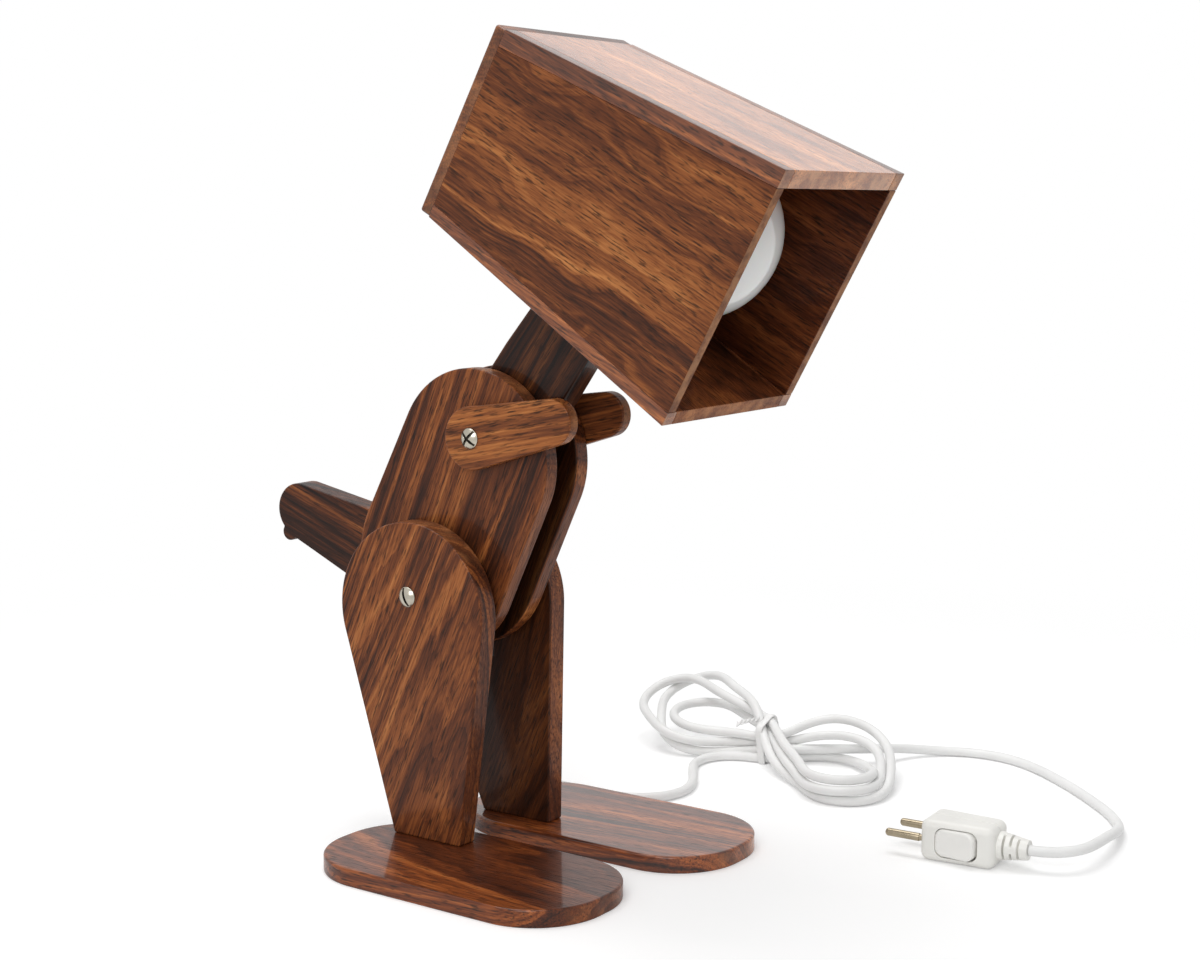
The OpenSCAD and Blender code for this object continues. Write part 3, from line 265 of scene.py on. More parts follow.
# %% Shader maths
class Value:
    """One output of a shader node; arithmetic on it adds Math nodes to the same material."""

    def __init__(self, tree, socket):
        self.tree, self.socket = tree, socket

    def node(self, kind, settings=(), values=(), out=0):
        """A node of that type: its settings, then its inputs by name or number, set or linked."""
        made = self.tree.nodes.new(kind)
        for key, setting in dict(settings).items():
            if key == "stops":
                ramp = made.color_ramp
                ramp.elements[0].position, ramp.elements[1].position = setting[0][0], setting[-1][0]
                for place, _ in setting[1:-1]:
                    ramp.elements.new(place)
                for stop, (_, colour) in zip(ramp.elements, setting):
                    stop.color = (*colour, 1.0)
            else:
                setattr(made, key, setting)
        for key, value in dict(values).items():
            if isinstance(value, Value):
                self.tree.links.new(value.socket, made.inputs[key])
            else:
                made.inputs[key].default_value = value
        return Value(self.tree, made.outputs[out])

    def math(self, operation, *others):
        """A Math node on this value and the others."""
        return self.node("ShaderNodeMath", {"operation": operation}, dict(enumerate([self, *others])))

    def __add__(self, other):
        return self.math("ADD", other)

    def __sub__(self, other):
        return self.math("SUBTRACT", other)

    def __rsub__(self, other):
        return (self * -1.0) + other

    def __mul__(self, other):
        return self.math("MULTIPLY", other)

    __radd__, __rmul__ = __add__, __mul__

    def vector(self, operation, *others):
        """Vector Math on this value, which is a vector or a colour."""
        inputs = dict(enumerate([self, *others]))
        return self.node("ShaderNodeVectorMath", {"operation": operation}, inputs)

    def drawn_out(self, along, across=1.0):
        """Coordinates shrunk in one direction, so that a pattern on them is long that way."""
        return self.vector("MULTIPLY", (along, across, 1.0))

    def noise(self, scale, detail=2.0, rough=0.5):
        """Soft random blotches of about 1 / scale metres, from 0 to 1 round 0.5."""
        inputs = {"Vector": self, "Scale": scale, "Detail": detail, "Roughness": rough}
        return self.node("ShaderNodeTexNoise", {}, inputs)

    def step(self, low, high):
        """Rises smoothly from 0 at low to 1 at high."""
        return self.node(
            "ShaderNodeMapRange", {"interpolation_type": "SMOOTHSTEP"},
            {"Value": self, "From Min": low, "From Max": high},
        )

    def mix(self, one, two):
        """A colour from one, where this value is 0, to two, where it is 1."""
        made = self.tree.nodes.new("ShaderNodeMix")
        made.data_type = "RGBA"
        self.tree.links.new(self.socket, made.inputs[0])
        for slot, colour in ((6, one), (7, two)):
            if isinstance(colour, Value):
                self.tree.links.new(colour.socket, made.inputs[slot])
            else:
                made.inputs[slot].default_value = (*colour, 1.0)
        return Value(self.tree, made.outputs[2])

# %% [markdown]
# Each finish starts from a Principled shader. A number that is the same all over goes straight
# to its socket, and only what changes over the surface is linked. Paint-chart colours are given
# from 0 to 255 and turned into the linear scale that light is added in.

# %% Start a finish
def new_finish(name, **constants):
    """A material with a Principled shader; constants such as roughness=0.4 go to its sockets."""
    material = bpy.data.materials.new(name)
    material.use_nodes = True
    shader = material.node_tree.nodes["Principled BSDF"]
    for key, value in constants.items():
        socket = shader.inputs[key.replace("_", " ").title().replace("Ior", "IOR")]
        socket.default_value = (*value, 1.0) if isinstance(value, tuple) else value
    place = material.node_tree.nodes.new("ShaderNodeTexCoord")
    return material, shader, Value(material.node_tree, place.outputs["Object"])


def feed(shader, **links):
    """Links values to the shader's sockets, such as base_color."""
    for key, value in links.items():
        value.tree.links.new(value.socket, shader.inputs[key.replace("_", " ").title()])


def bumped(height, strength, distance):
    """A surface normal tilted by a height pattern."""
    inputs = {"Height": height, "Strength": strength, "Distance": distance}
    return height.node("ShaderNodeBump", {}, inputs)


def linear(*rgb):
    """A colour in the light's own scale from the 0 to 255 values that a paint chart gives."""
    c = np.array(rgb) / 255
    return tuple(float(x) for x in np.where(c <= 0.04045, c / 12.92, ((c + 0.055) / 1.055) ** 2.4))

# %% [markdown]
# Walnut of this kind is built of years: each ring is a thin shell round the heart of the tree,
# and a board cuts through many of them. Along the board the rings drift only slowly, so every
# pattern is long in one direction. A Mapping node first turns each board's grain onto X and its
# face onto Z. Then come ring lines, broad heartwood streaks, fine fibres and open pores, and a
# satin varnish lies over all of it. Sawn ends cut across the tubes, so they are duller; their
# paler colour is painted reflection, the white surround that ends catch at a grazing angle.

# %% The wood
# Both colours paint the reflection on sawn ends, the pale one where it is strongest.
PALE_SAWN_REFLECTION, DIM_SAWN_REFLECTION = (176, 128, 88), (112, 70, 44)
WALNUT_CHART = (
    (0.10, (24, 13, 10)), (0.30, (58, 31, 20)), (0.50, (100, 55, 31)),
    (0.67, (143, 86, 47)), (0.90, (188, 126, 74)),
)


def wood(
    name, grain, face, heart=(0.0, 0.05), seed=0.0, tone=1.0, tint=(1.06, 0.96, 0.86), figure=1.0,
    curl=0.0, ends=0.3, gloss=0.3, lift=0.0, coat=0.16, pace=1.0, bold=1.0,
):
    """Distance from the heart line (y0, z0), bent by slow noise, is the ring number.

    Bands of colour and the dark end of each year follow the ring number. The shade is their
    sum with streaks and fibres, and a ramp turns the shade into the wood's own colours.
    """
    material, shader, here = new_finish(
        name, coat_weight=coat, coat_roughness=0.06 + 0.2 * gloss, coat_ior=1.5,
        specular_ior_level=0.12,
    )

    def stained(paint):
        """A paint-chart colour in the light's own scale, times tone and tint."""
        return tuple(tone * t * c for t, c in zip(tint, linear(*paint)))

    # The board's own axes: x along the grain, y across it, z through the face
    along_x, through_z = Vector(grain).normalized(), Vector(face).normalized()
    turn = Matrix((along_x, through_z.cross(along_x), through_z)).to_euler("XYZ")
    inputs = {"Vector": here, "Rotation": turn, "Location": (seed, 0.37 * seed, 0)}
    board_at = here.node("ShaderNodeMapping", {}, inputs)
    x, y, z = (board_at.node("ShaderNodeSeparateXYZ", {}, {0: board_at}, out=k) for k in range(3))

    # Noises from slow to fine, all of them long along the grain
    slow = board_at.drawn_out(0.12).noise(15.0)
    broad = board_at.drawn_out(0.16).noise(58.0, 3.0, 0.55)
    wavy = board_at.drawn_out(0.5).noise(38.0)
    fibre = board_at.drawn_out(0.035).noise(1150.0, 2.0, 0.6)

    # Rings round the heart, in bands and years
    across = y - (0.37 * seed + heart[0]) + (slow - 0.5) * (0.07 * figure)
    across = across + (wavy - 0.5) * (0.03 * curl)
    below = z - heart[1] + (x - seed) * 0.10 + (broad - 0.5) * (0.010 * figure)
    radius = (across * across + below * below).math("SQRT")
    inputs = {0: x * 1.8, 1: radius * (150.0 * pace), 2: 3.7 * seed}
    bands = x.node("ShaderNodeCombineXYZ", {}, inputs).noise(1.0, 4.0, 0.62)
    year = (radius * (250.0 * pace) + broad * 0.6).math("FRACT").step(0.3, 0.98)
    shade = 0.53 + lift + (bands - 0.5) * (1.3 * bold)
    shade = shade + (slow - 0.5) * 0.4 + (broad - 0.5) * 0.5 + (fibre - 0.5) * 0.5
    shade = shade - year * (0.09 * bold)
    stops = [(place, stained(paint)) for place, paint in WALNUT_CHART]
    colour = shade.node("ShaderNodeValToRGB", {"stops": stops}, {"Fac": shade})

    # Open pores, in the broad streaks most of all
    pore = board_at.drawn_out(0.11).noise(1150.0, 2.0).step(0.50, 0.70)
    pore = pore * (broad.step(0.25, 0.6) * 0.4 + 0.4)
    colour = pore.mix(colour, (0.010, 0.005, 0.003))

    # Sawn ends, where the surface looks along the grain: duller, and painted paler as reflection
    facing = here.node("ShaderNodeTexCoord", out=1).vector("DOT_PRODUCT", tuple(along_x))
    facing.socket = facing.socket.node.outputs[1]
    sawn = facing.math("ABSOLUTE").step(0.80, 0.97)
    sawn_reflection_patches = here.noise(130.0, 3.0).step(0.35, 0.65)
    colour = (sawn * ends).mix(colour, sawn_reflection_patches.mix(stained(DIM_SAWN_REFLECTION), stained(PALE_SAWN_REFLECTION)))
    dull = 0.36 + 0.22 * gloss + pore * 0.2 + sawn * 0.18 - (fibre - 0.5) * 0.2
    feed(shader, base_color=colour, roughness=dull)
    feed(shader, normal=bumped(fibre * 0.35 - pore - year * 0.25, 0.3, 0.00025))
    return material


# %% [markdown]
# A board is sawn to an outline and its two faces are then rounded over at the edge. One helper
# makes them all: rings of points run over one face's edge, down the side and over the other
# edge, and the flat faces are filled in between the outline and the bolt holes. The rings that
# lie a hair inside the flat faces keep the light on them flat.

# %% Outlines
def once_round(count):
    """Equal angles from 0 up to, and without, a full turn."""
    return np.linspace(0, 2 * np.pi, count, endpoint=False)


def stretched_round(circles, count=300):
    """Outline of a band stretched round circles (a, b, r), and its outward normals.

    For each direction the circle that reaches farthest gives centre + r * direction.
    """
    c = np.asarray(circles, float)
    angle = once_round(count)
    n = np.stack([np.cos(angle), np.sin(angle)], 1)
    best = (n @ c[:, :2].T + c[:, 2]).argmax(1)
    return c[best, :2] + c[best, 2:] * n, n


def corners(points, r=0.5, count=96):
    """Outline of a convex shape whose corners are circles of radius r.

    Each circle lies r / sin(half the corner's angle) from its corner, on the bisector.
    """
    p = np.asarray(points, float)
    before, after = unit(np.roll(p, 1, 0) - p), unit(np.roll(p, -1, 0) - p)
    half = np.arccos(np.clip((before * after).sum(1), -1, 1)) / 2
    centres = p + unit(before + after) * (r / np.sin(half))[:, None]
    return stretched_round(np.c_[centres, np.full(len(p), r)], count)


def circle_line(a, b, r, count=48):
    """Points (a + r cos q, b + r sin q), with q once round."""
    angle = once_round(count)
    return np.stack([a + r * np.cos(angle), b + r * np.sin(angle)], 1)

# %% Boards
def board(t0, t1, outline, holes=(), edges=(1.0, 1.0), turns=4, skin=0.35):
    """Points (a, b, t) and faces of a board between t0 and t1, rounded over by edges.

    Ring k lies inward by e(1 - sin q) and below the face by e(1 - cos q), with q from 0 to a
    right angle. The flat faces are filled between the outline and the holes.
    """
    points, n = outline
    q = np.linspace(0, np.pi / 2, turns + 1)
    inwards, inside = 1 - np.sin(q), 1 - np.cos(q)
    low = [(edges[0] + skin, t0), *zip(edges[0] * inwards, t0 + edges[0] * inside)]
    high = [(edges[1] + skin, t1), *zip(edges[1] * inwards, t1 - edges[1] * inside)]
    slack = min(skin, 0.4 * (t1 - t0 - sum(edges)))
    rings = low + [(0, t0 + edges[0] + slack), (0, t1 - edges[1] - slack)] + high[::-1]
    inset, level = (np.array(v) for v in zip(*rings))
    flat = points[None] - inset[:, None, None] * n[None]
    count, total = len(points), len(rings)
    levels = np.broadcast_to(level[:, None, None], (total, count, 1))
    grid = np.concatenate([flat, levels], 2).reshape(-1, 3)
    faces, pieces, start = skin_of(total, count), [grid], len(grid)
    bottom, top = [np.arange(count)], [np.arange(count) + (total - 1) * count]
    for hole in holes:
        m = len(hole)
        for height, rim in ((t0, bottom), (t1, top)):
            pieces.append(np.c_[hole, np.full(m, height)])
            rim.append(np.arange(m) + start)
            start += m
        i, a, b = np.arange(m), bottom[-1], top[-1]
        faces += np.stack([a[i], b[i], b[(i + 1) % m], a[(i + 1) % m]], 1).tolist()
    every = np.vstack(pieces)
    for rim in (bottom, top):
        loops = [[Vector((*every[v][:2], 0)) for v in loop] for loop in rim]
        names = np.concatenate(rim)
        faces += [names[list(tri)].tolist() for tri in tessellate_polygon(loops)]
    return every, faces


def skin_of(rows, count, closed=True):
    """Four-sided faces between neighbouring rings of a grid of rows * count points."""
    steps = count if closed else count - 1
    k, i = np.meshgrid(np.arange(rows - 1) * count, np.arange(steps), indexing="ij")
    j = (i + 1) % count
    four = [k + i, k + j, k + count + j, k + count + i]
    return np.stack(four, -1).reshape(-1, 4).tolist()

# %% [markdown]
# Every shell of points and faces becomes a piece in the same way. Doubles are merged and faces
# turned outwards, only real edges stay sharp, the piece is tied to the body that moves it, and
# the solids that it stands for are hidden. Some faces get a second finish afterwards.

# %% From shells to pieces
def together(*shells):
    """Several shells as one: points stacked, faces renumbered."""
    points, faces, start = [], [], 0
    for p, f in shells:
        points.append(p)
        faces += [[v + start for v in face] for face in f]
        start += len(p)
    return np.vstack(points), faces


def closed_mesh(name, shell):
    """A mesh of points in millimetres and faces: doubles merged, faces turned outwards."""
    mesh = bpy.data.meshes.new(name)
    mesh.from_pydata((np.asarray(shell[0], float) * MM).tolist(), [], shell[1])
    work = bmesh.new()
    work.from_mesh(mesh)
    bmesh.ops.remove_doubles(work, verts=work.verts, dist=1e-6)
    bmesh.ops.dissolve_degenerate(work, dist=1e-7, edges=work.edges)
    bmesh.ops.recalc_face_normals(work, faces=work.faces)
    work.to_mesh(mesh)
    work.free()
    return mesh


def piece(name, shell, body, nodes, finish, sharp=35):
    """A finished object that rides on its body in place of the CAD nodes."""
    mesh = closed_mesh(name, shell)
    mesh.shade_smooth()
    mesh.set_sharp_from_angle(angle=math.radians(sharp))
    mesh.materials.append(finish)
    made = placed(name, mesh)
    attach(made, body)
    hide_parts(*nodes)
    print(name, len(mesh.polygons), "faces")
    return made


def walnut(name, shell, body, node, grain, face, **looks):
    """A board with a walnut finish of its own."""
    return piece(name, shell, body, [node], wood(name, grain, face, **looks))


def middles_of(made):
    """The middle of each face of a piece, in millimetres."""
    middles = np.zeros(len(made.data.polygons) * 3)
    made.data.polygons.foreach_get("center", middles)
    return middles.reshape(-1, 3) / MM


def refinish(made, finish, chosen):
    """Gives the chosen faces of a piece a second finish."""
    made.data.materials.append(finish)
    made.data.polygons.foreach_set("material_index", chosen.astype(np.int32))


def side_on(shell):
    """From board axes (y, z, x) to the lamp's (x, y, z)."""
    return shell[0][:, [2, 0, 1]], shell[1]


def on_side(sign, faces):
    """Where a board between two distances from the middle lies along x, lower end first."""
    return sorted(sign * x for x in faces)

# %% [markdown]
# The lamp's measures come from its joints: the hip, the shoulder and the pivot in the head are
# bolts along x, so each is a point (y, z). Neck and tail lie in the middle, 7 mm to each side.
# The other boards come in pairs, given by how far their inner and outer faces lie from there.

# %% Joint centres, in millimetres
HIP, SHOULDER, PIVOT = (54.142, 129.5), (21.093, 208.896), (-40.060, 288.018)
BORE, PIVOT_BORE = 3.05, 2.55
PLATES, ARMS, LEGS, CHEEKS = (7.8, 17.5), (18.5, 25.5), (21.7, 33.7), (7.8, 15.8)
MIDDLE = 7
SIDES = (("right", -1), ("left", 1))
SIDEWAYS = (1.0, 0.0, 0.0)
UP_SPINE = (0.0, -math.sin(math.radians(22.6)), math.cos(math.radians(22.6)))
for part, low, high in (("spine", HIP, SHOULDER), ("neck", SHOULDER, PIVOT)):
    print(part, round(math.dist(low, high), 2), "mm between its bolts")

# %% [markdown]
# The two body plates carry everything: neck and arms hang on the upper bolt, legs and tail on
# the lower one. Each plate is a band stretched round two circles, with its grain running up the
# leaning spine. The faces that look at each other get a near-black finish: painted shade.

# %% Body plates
plate_outline = stretched_round([(52.142, 145.3, 46.5), (26.893, 196.696, 45.0)])
bores = [circle_line(*SHOULDER, BORE), circle_line(*HIP, BORE)]
for side, sign in SIDES:
    plank = dict(grain=UP_SPINE, face=SIDEWAYS, heart=(0.06, 0.05 * sign), seed=0.3 + sign)
    shell = side_on(board(*on_side(sign, PLATES), plate_outline, bores, (1.1, 1.1)))
    plate = walnut(
        "walnut_body_plate_" + side, shell, "torso", "body_plate_" + side, **plank,
        # The left plate's lift is lower: painted shade, because it stands in the shade between the
        # plates.
        tone=0.96, lift=0.01 - 0.04 * sign, bold=1.1,
    )
    # Painted shade: a near-black copy of the same wood on the inner faces, for the shade between the
    # plates.
    painted_shade_wood = wood("walnut_painted_shade_" + side, **plank, tone=0.22, gloss=0.2, coat=0.05)
    refinish(plate, painted_shade_wood, np.abs(middles_of(plate)[:, 0]) < PLATES[0] + 0.4)

# %% [markdown]
# The neck is glued up from three layers. The middle one is narrower at the rear, which leaves
# the channel that the lamp's lead lies in. So it is three boards in one shell, on axes that lean
# with the neck, and their glue lines are as thin as the rounding of the inner edges.

# %% Neck
def tilted(origin, across, along_axis, shell):
    """Board axes (a, b, x) to the lamp's: origin + a * across + b * along_axis."""
    p = shell[0]
    y = origin[0] + p[:, 0] * across[0] + p[:, 1] * along_axis[0]
    z = origin[1] + p[:, 0] * across[1] + p[:, 1] * along_axis[1]
    return np.stack([p[:, 2], y, z], 1), shell[1]


lean, CORE = math.radians(37.7), 3
neck_across, neck_along = (math.cos(lean), math.sin(lean)), (-math.sin(lean), math.cos(lean))
neck_corners = [(-20, 40, 1.5), (20, 40, 1.5), (-17.8, 86.6, 1.5), (17.8, 86.6, 1.5)]
neck_line, neck_n = stretched_round([(0, 0, 21.4), *neck_corners, (0, 100, 10)], 420)
keep = np.abs(neck_line[:, 0]) > 3.3
inner_line = neck_line[keep] - np.where(neck_line[keep, :1] > 0, [[6.5, 0]], [[0, 0]])
bolts = [circle_line(0, 0, BORE), circle_line(0, 100, PIVOT_BORE)]
shells = [
    board(-MIDDLE, -CORE, (neck_line, neck_n), bolts, (1.0, 0.03), skin=0.3),
    board(-CORE, CORE, (inner_line, neck_n[keep]), bolts, (0.03, 0.03), skin=0.1),
    board(CORE, MIDDLE, (neck_line, neck_n), bolts, (0.03, 1.0), skin=0.3),
]
walnut(
    "walnut_neck", tilted(SHOULDER, neck_across, neck_along, together(*shells)), "neck", "neck",
    (0, *neck_along), SIDEWAYS,
    heart=(0.03, 0.04), seed=2.1, tone=0.36, gloss=0.15, lift=-0.06, coat=0.2, bold=1.5,
)

# %% [markdown]
# The tail is one board that swells towards its middle and ends in a small rounded point on the
# underside. The point is a circle: where the outline would run inside it, the outline's points
# are dropped and an arc round the circle takes their place.

# %% Tail
rise = math.radians(17.6)
tail_along, tail_across = (math.cos(rise), math.sin(rise)), (math.sin(rise), -math.cos(rise))
line, n = stretched_round([(0, 0, 19), (0, 48, 20.4), (0, 102, 14)], 360)
tip, tip_r = np.array([13.7, 104.7]), 4.5
covered = np.linalg.norm(line - tip, axis=1) < tip_r
first = int(np.flatnonzero(covered & ~np.roll(covered, 1))[0])
line, n, covered = (np.roll(v, -first, axis=0) for v in (line, n, covered))
from_p, to_p = line[-1] - tip, line[covered.sum()] - tip
a0 = math.atan2(from_p[1], from_p[0])
a1 = a0 + (math.atan2(to_p[1], to_p[0]) - a0) % (2 * math.pi)
arc = np.linspace(a0, a1, 34)[1:-1]
round_n = np.stack([np.cos(arc), np.sin(arc)], 1)
line, n = np.vstack([tip + tip_r * round_n, line[~covered]]), np.vstack([round_n, n[~covered]])
shell = board(-MIDDLE, MIDDLE, (line, n), [circle_line(0, 0, BORE)], (1.0, 1.0))
walnut(
    "walnut_tail", tilted(HIP, tail_across, tail_along, shell), "tail", "tail",
    (0, *tail_along), SIDEWAYS, heart=(-0.02, 0.06), seed=3.3, tone=0.72, lift=-0.03, bold=1.1,
)

# %% [markdown]
# The arms are cut from lighter boards and taper to a round hand. Both hang on the shoulder bolt
# at the same angle, so one outline serves for both, and only their sides of the lamp differ.

# %% Arms
arm_tilt = math.radians(12.6)
arm_along = (-math.cos(arm_tilt), math.sin(arm_tilt))
arm_across = (math.sin(arm_tilt), math.cos(arm_tilt))
arm_line = stretched_round([(0, 0, 15.4), (0, 49, 11)])
for side, sign in SIDES:
    shell = board(*on_side(sign, ARMS), arm_line, [circle_line(0, 0, BORE)], (0.9, 0.9))
    shell = tilted(SHOULDER, arm_across, arm_along, shell)
    walnut(
        "walnut_arm_" + side, shell, "arm_" + side, "arm_" + side,
        (0, *arm_along), SIDEWAYS, heart=(0.01, 0.03 * sign), seed=4.2 + sign,
        tone=1.3, tint=(1.0, 0.96, 0.84), lift=0.07, bold=0.85,
    )

# %% [markdown]
# A leg is a round thigh whose straight sides narrow to the ankle. Each side is a tangent from a
# corner of the ankle to the thigh. The left leg strides forward: it is turned about the hip,
# and its sides are carried on to the foot's top. Its inner face gets painted shade, like the plates'.

# %% Legs
THIGH, THIGH_R, FOOT_TOP = np.array([-1.2, -7.7]), 44.5, 8.5


def strided(angle):
    """The matrix that turns (y, z) about the hip so that the foot moves forwards."""
    return np.array([[math.cos(angle), math.sin(angle)], [-math.sin(angle), math.cos(angle)]])


def ankle_corner(corner, side, stride):
    """The tangent from the corner to the thigh, turned by the stride, meets the foot's top here."""
    away = THIGH - corner
    slip = side * math.asin(THIGH_R / np.linalg.norm(away))
    at, way = strided(stride) @ corner + HIP, strided(stride) @ (strided(-slip) @ away)
    return at - way * (at[1] - FOOT_TOP) / way[1]


for (side, sign), stride in zip(SIDES, (0.0, math.radians(6.3))):
    toe = ankle_corner(np.array([-31.7, -121.0]), 1, stride)
    heel = ankle_corner(np.array([10.8, -121.0]), -1, stride)
    thigh = strided(stride) @ THIGH + HIP
    ankle = [(toe[0] + 1.5, FOOT_TOP + 1.3, 1.3), (heel[0] - 1.5, FOOT_TOP + 1.3, 1.3)]
    line = stretched_round([(*thigh, THIGH_R), *ankle], 360)
    bore = [circle_line(*HIP, BORE)]
    shell = side_on(board(*on_side(sign, LEGS), line, bore, (1.0, 1.0), skin=0.25))
    plank = dict(grain=UP_SPINE, face=SIDEWAYS, heart=(-0.05, 0.06 * sign), seed=5.3 + 2.6 * sign)
    leg = walnut(
        "walnut_leg_" + side, shell, "leg_" + side, "leg_" + side, **plank,
        tone=1.02 + 0.06 * sign, figure=1.15, lift=0.03 - 0.03 * sign, bold=1.0 - 0.2 * sign,
    )
    # Painted shade: a darker copy of the leg's wood on the inner face, for the shade between leg and
    # plate.
    painted_shade_wood = wood("walnut_leg_painted_shade_" + side, **plank, tone=0.46, bold=0.9)
    refinish(leg, painted_shade_wood, np.abs(middles_of(leg)[:, 0]) < LEGS[0] + 0.5)
    print(side, "ankle from", toe.round(1), "to", heel.round(1))

# %% [markdown]
# The feet are the lamp's stand, so they are broad and flat. Their outline is a band round four
# equal circles, their board axes are x and y, and a thicker coat of varnish makes them shine.
# Their tone rises with x: a painted sheen that makes the far, left foot's top lighter.

# %% Feet
for side, x, y in (("right", -49.0, 3.692), ("left", 49.0, -9.729)):
    spread = [(x + sx * 3.5, y + sy * 41.5, 36.5) for sx in (-1, 1) for sy in (-1, 1)]
    shell = board(0.0, FOOT_TOP, stretched_round(spread, 360), (), (0.7, 1.2))
    walnut(
        "walnut_foot_" + side, shell, "leg_" + side, "foot_" + side, (0, 1, 0), (0, 0, 1),
        # tone = 1.02 + x / 350 is painted sheen: lighter on the left foot, darker on the right.
        heart=(0.03, -0.06), seed=6.6 + x, tone=1.02 + x / 350, tint=(1.16, 0.9, 0.7),
        gloss=0.1, coat=0.6 + x / 245, bold=1.15,
    )

# %% [markdown]
# The head is a box of thin panels that narrows towards the back. It has axes of its own: x, the
# distance s behind the rim, and the height h above its middle line. Half of its height and
# width at s are straight-line formulas, so a panel is sawn as a board and laid on these slopes.

# %% The head's own axes
RIM_HALF_H, RIM_HALF_W, BACK_AT, HEAD_END = 61.5, 54.0, 157, 163
TOP_T, LOW_T, SIDE_T, STRIP_W = 8.5, 6.5, 6.2, 8
PIVOT_S, PIVOT_H = 88, -38.702
PITCH = math.radians(28.7)
HEAD_S, HEAD_H = (0.0, math.cos(PITCH), math.sin(PITCH)), (0.0, -math.sin(PITCH), math.cos(PITCH))


def half_h(s):
    """Half of the head's height at s: the rim's, less 0.092 mm for each mm behind it."""
    return RIM_HALF_H - 0.0920245 * s


def half_w(s):
    """Half of the head's width at s: the rim's, less 0.021 mm for each mm behind it."""
    return RIM_HALF_W - 0.0214724 * s


def in_head(x, s, h):
    """Head axes to the lamp's: pivot + (s - pivot_s) along the head + (h - pivot_h) across it."""
    along_by, up_by = np.asarray(s, float) - PIVOT_S, np.asarray(h, float) - PIVOT_H
    y = PIVOT[0] + along_by * math.cos(PITCH) - up_by * math.sin(PITCH)
    z = PIVOT[1] + along_by * math.sin(PITCH) + up_by * math.cos(PITCH)
    return np.stack(np.broadcast_arrays(x, y, z), 1)


for part, s in (("rim", 0), ("back", HEAD_END)):
    print(part, round(2 * half_w(s), 1), "x", round(2 * half_h(s), 1), "mm")

# %% [markdown]
# The top is the board that the light falls on: painted light makes its wood far paler and cooler than
# the others', and it has the most varnish.
# The bottom has the slot that the neck comes through. Both end 8 mm short of the head's sides,
# where the edge strips lie.

# %% Top and bottom of the head
FINE = dict(edges=(0.3, 0.3), turns=2, skin=0.15)
narrow = half_w(BACK_AT) - STRIP_W
lying = corners([(-46, 0), (46, 0), (narrow, BACK_AT), (-narrow, BACK_AT)])
p, f = board(0, TOP_T, lying, **FINE)
top = in_head(p[:, 0], p[:, 1], half_h(p[:, 1]) - TOP_T + p[:, 2]), f
walnut(
    "walnut_head_top", top, "head", "head_top_panel", HEAD_S, HEAD_H, heart=(0.01, -0.05), seed=8.1,
    # Painted light: tone 2.1, the cool tint, the lift and the faint grain paint the overhead glare
    # onto the top.
    tone=2.1, tint=(0.98, 1.0, 1.05), lift=0.07, ends=0.45, coat=1.0, bold=0.4,
)
slot_hole = np.array([(-7.6, 61), (7.6, 61), (7.6, 118.5), (-7.6, 118.5)])
p, f = board(0, LOW_T, lying, [slot_hole], **FINE)
under = in_head(p[:, 0], p[:, 1], p[:, 2] - half_h(p[:, 1])), f
walnut(
    "walnut_head_bottom", under, "head", "head_bottom_panel", HEAD_S, HEAD_H,
    heart=(0.01, 0.05), seed=8.7, tone=1.25, ends=0.5, bold=0.8,
)

# %% [markdown]
# The side panels stand between the strips, with a livelier figure than the other boards. Their
# inner faces get painted shade: a dull, dark red finish with the same grain, for the shade inside
# the lamp. The back panel closes the box.

# %% Sides and back
rear_h = half_h(BACK_AT)
standing = corners([(0, -55), (BACK_AT, LOW_T - rear_h), (BACK_AT, rear_h - TOP_T), (0, 53)])
for side, sign in SIDES:
    plank = dict(grain=HEAD_S, face=SIDEWAYS, heart=(0.045, 0.03 * sign), seed=9.5 + sign, curl=0.9)
    p, f = board(0, SIDE_T, standing, **FINE)
    wall = in_head(sign * (half_w(p[:, 0]) - SIDE_T + p[:, 2]), p[:, 0], p[:, 1]), f
    panel = walnut(
        "walnut_head_" + side, wall, "head", f"head_{side}_panel", **plank,
        tone=0.95, tint=(1.04, 0.97, 0.88), figure=1.1, ends=0.7, pace=0.85, bold=0.72,
    )
    middle = middles_of(panel)
    behind_rim = PIVOT_S + (middle[:, 1:] - PIVOT) @ HEAD_S[1:]
    # Painted shade: a dark red copy of the panel's wood on the inner faces, for the shade inside the
    # head.
    inside = wood(
        "walnut_head_painted_shade_" + side, **plank,
        tone=0.54, tint=(1.16, 0.92, 0.84), gloss=0.5, coat=0.1, bold=0.7,
    )
    refinish(panel, inside, np.abs(middle[:, 0]) < half_w(behind_rim) - SIDE_T + 0.4)

back_line = corners([(-50.56, -46.8), (50.56, -46.8), (50.56, 46.8), (-50.56, 46.8)], 1.6)
p, f = board(BACK_AT, HEAD_END, back_line, edges=(0.3, 1.1))
back = in_head(p[:, 0], p[:, 2], p[:, 1]), f
walnut(
    "walnut_head_back", back, "head", "head_back_panel", SIDEWAYS, HEAD_S,
    heart=(0.02, 0.05), seed=11.0, tone=0.9, coat=0.6, bold=0.8,
)

# %% [markdown]
# Dark strips close the box's four long edges, flush with the panels: each is a small board that
# runs along s. Inside, two cheeks stand on the bottom panel on both sides of the slot, and the
# bolt that the head nods on goes through them.

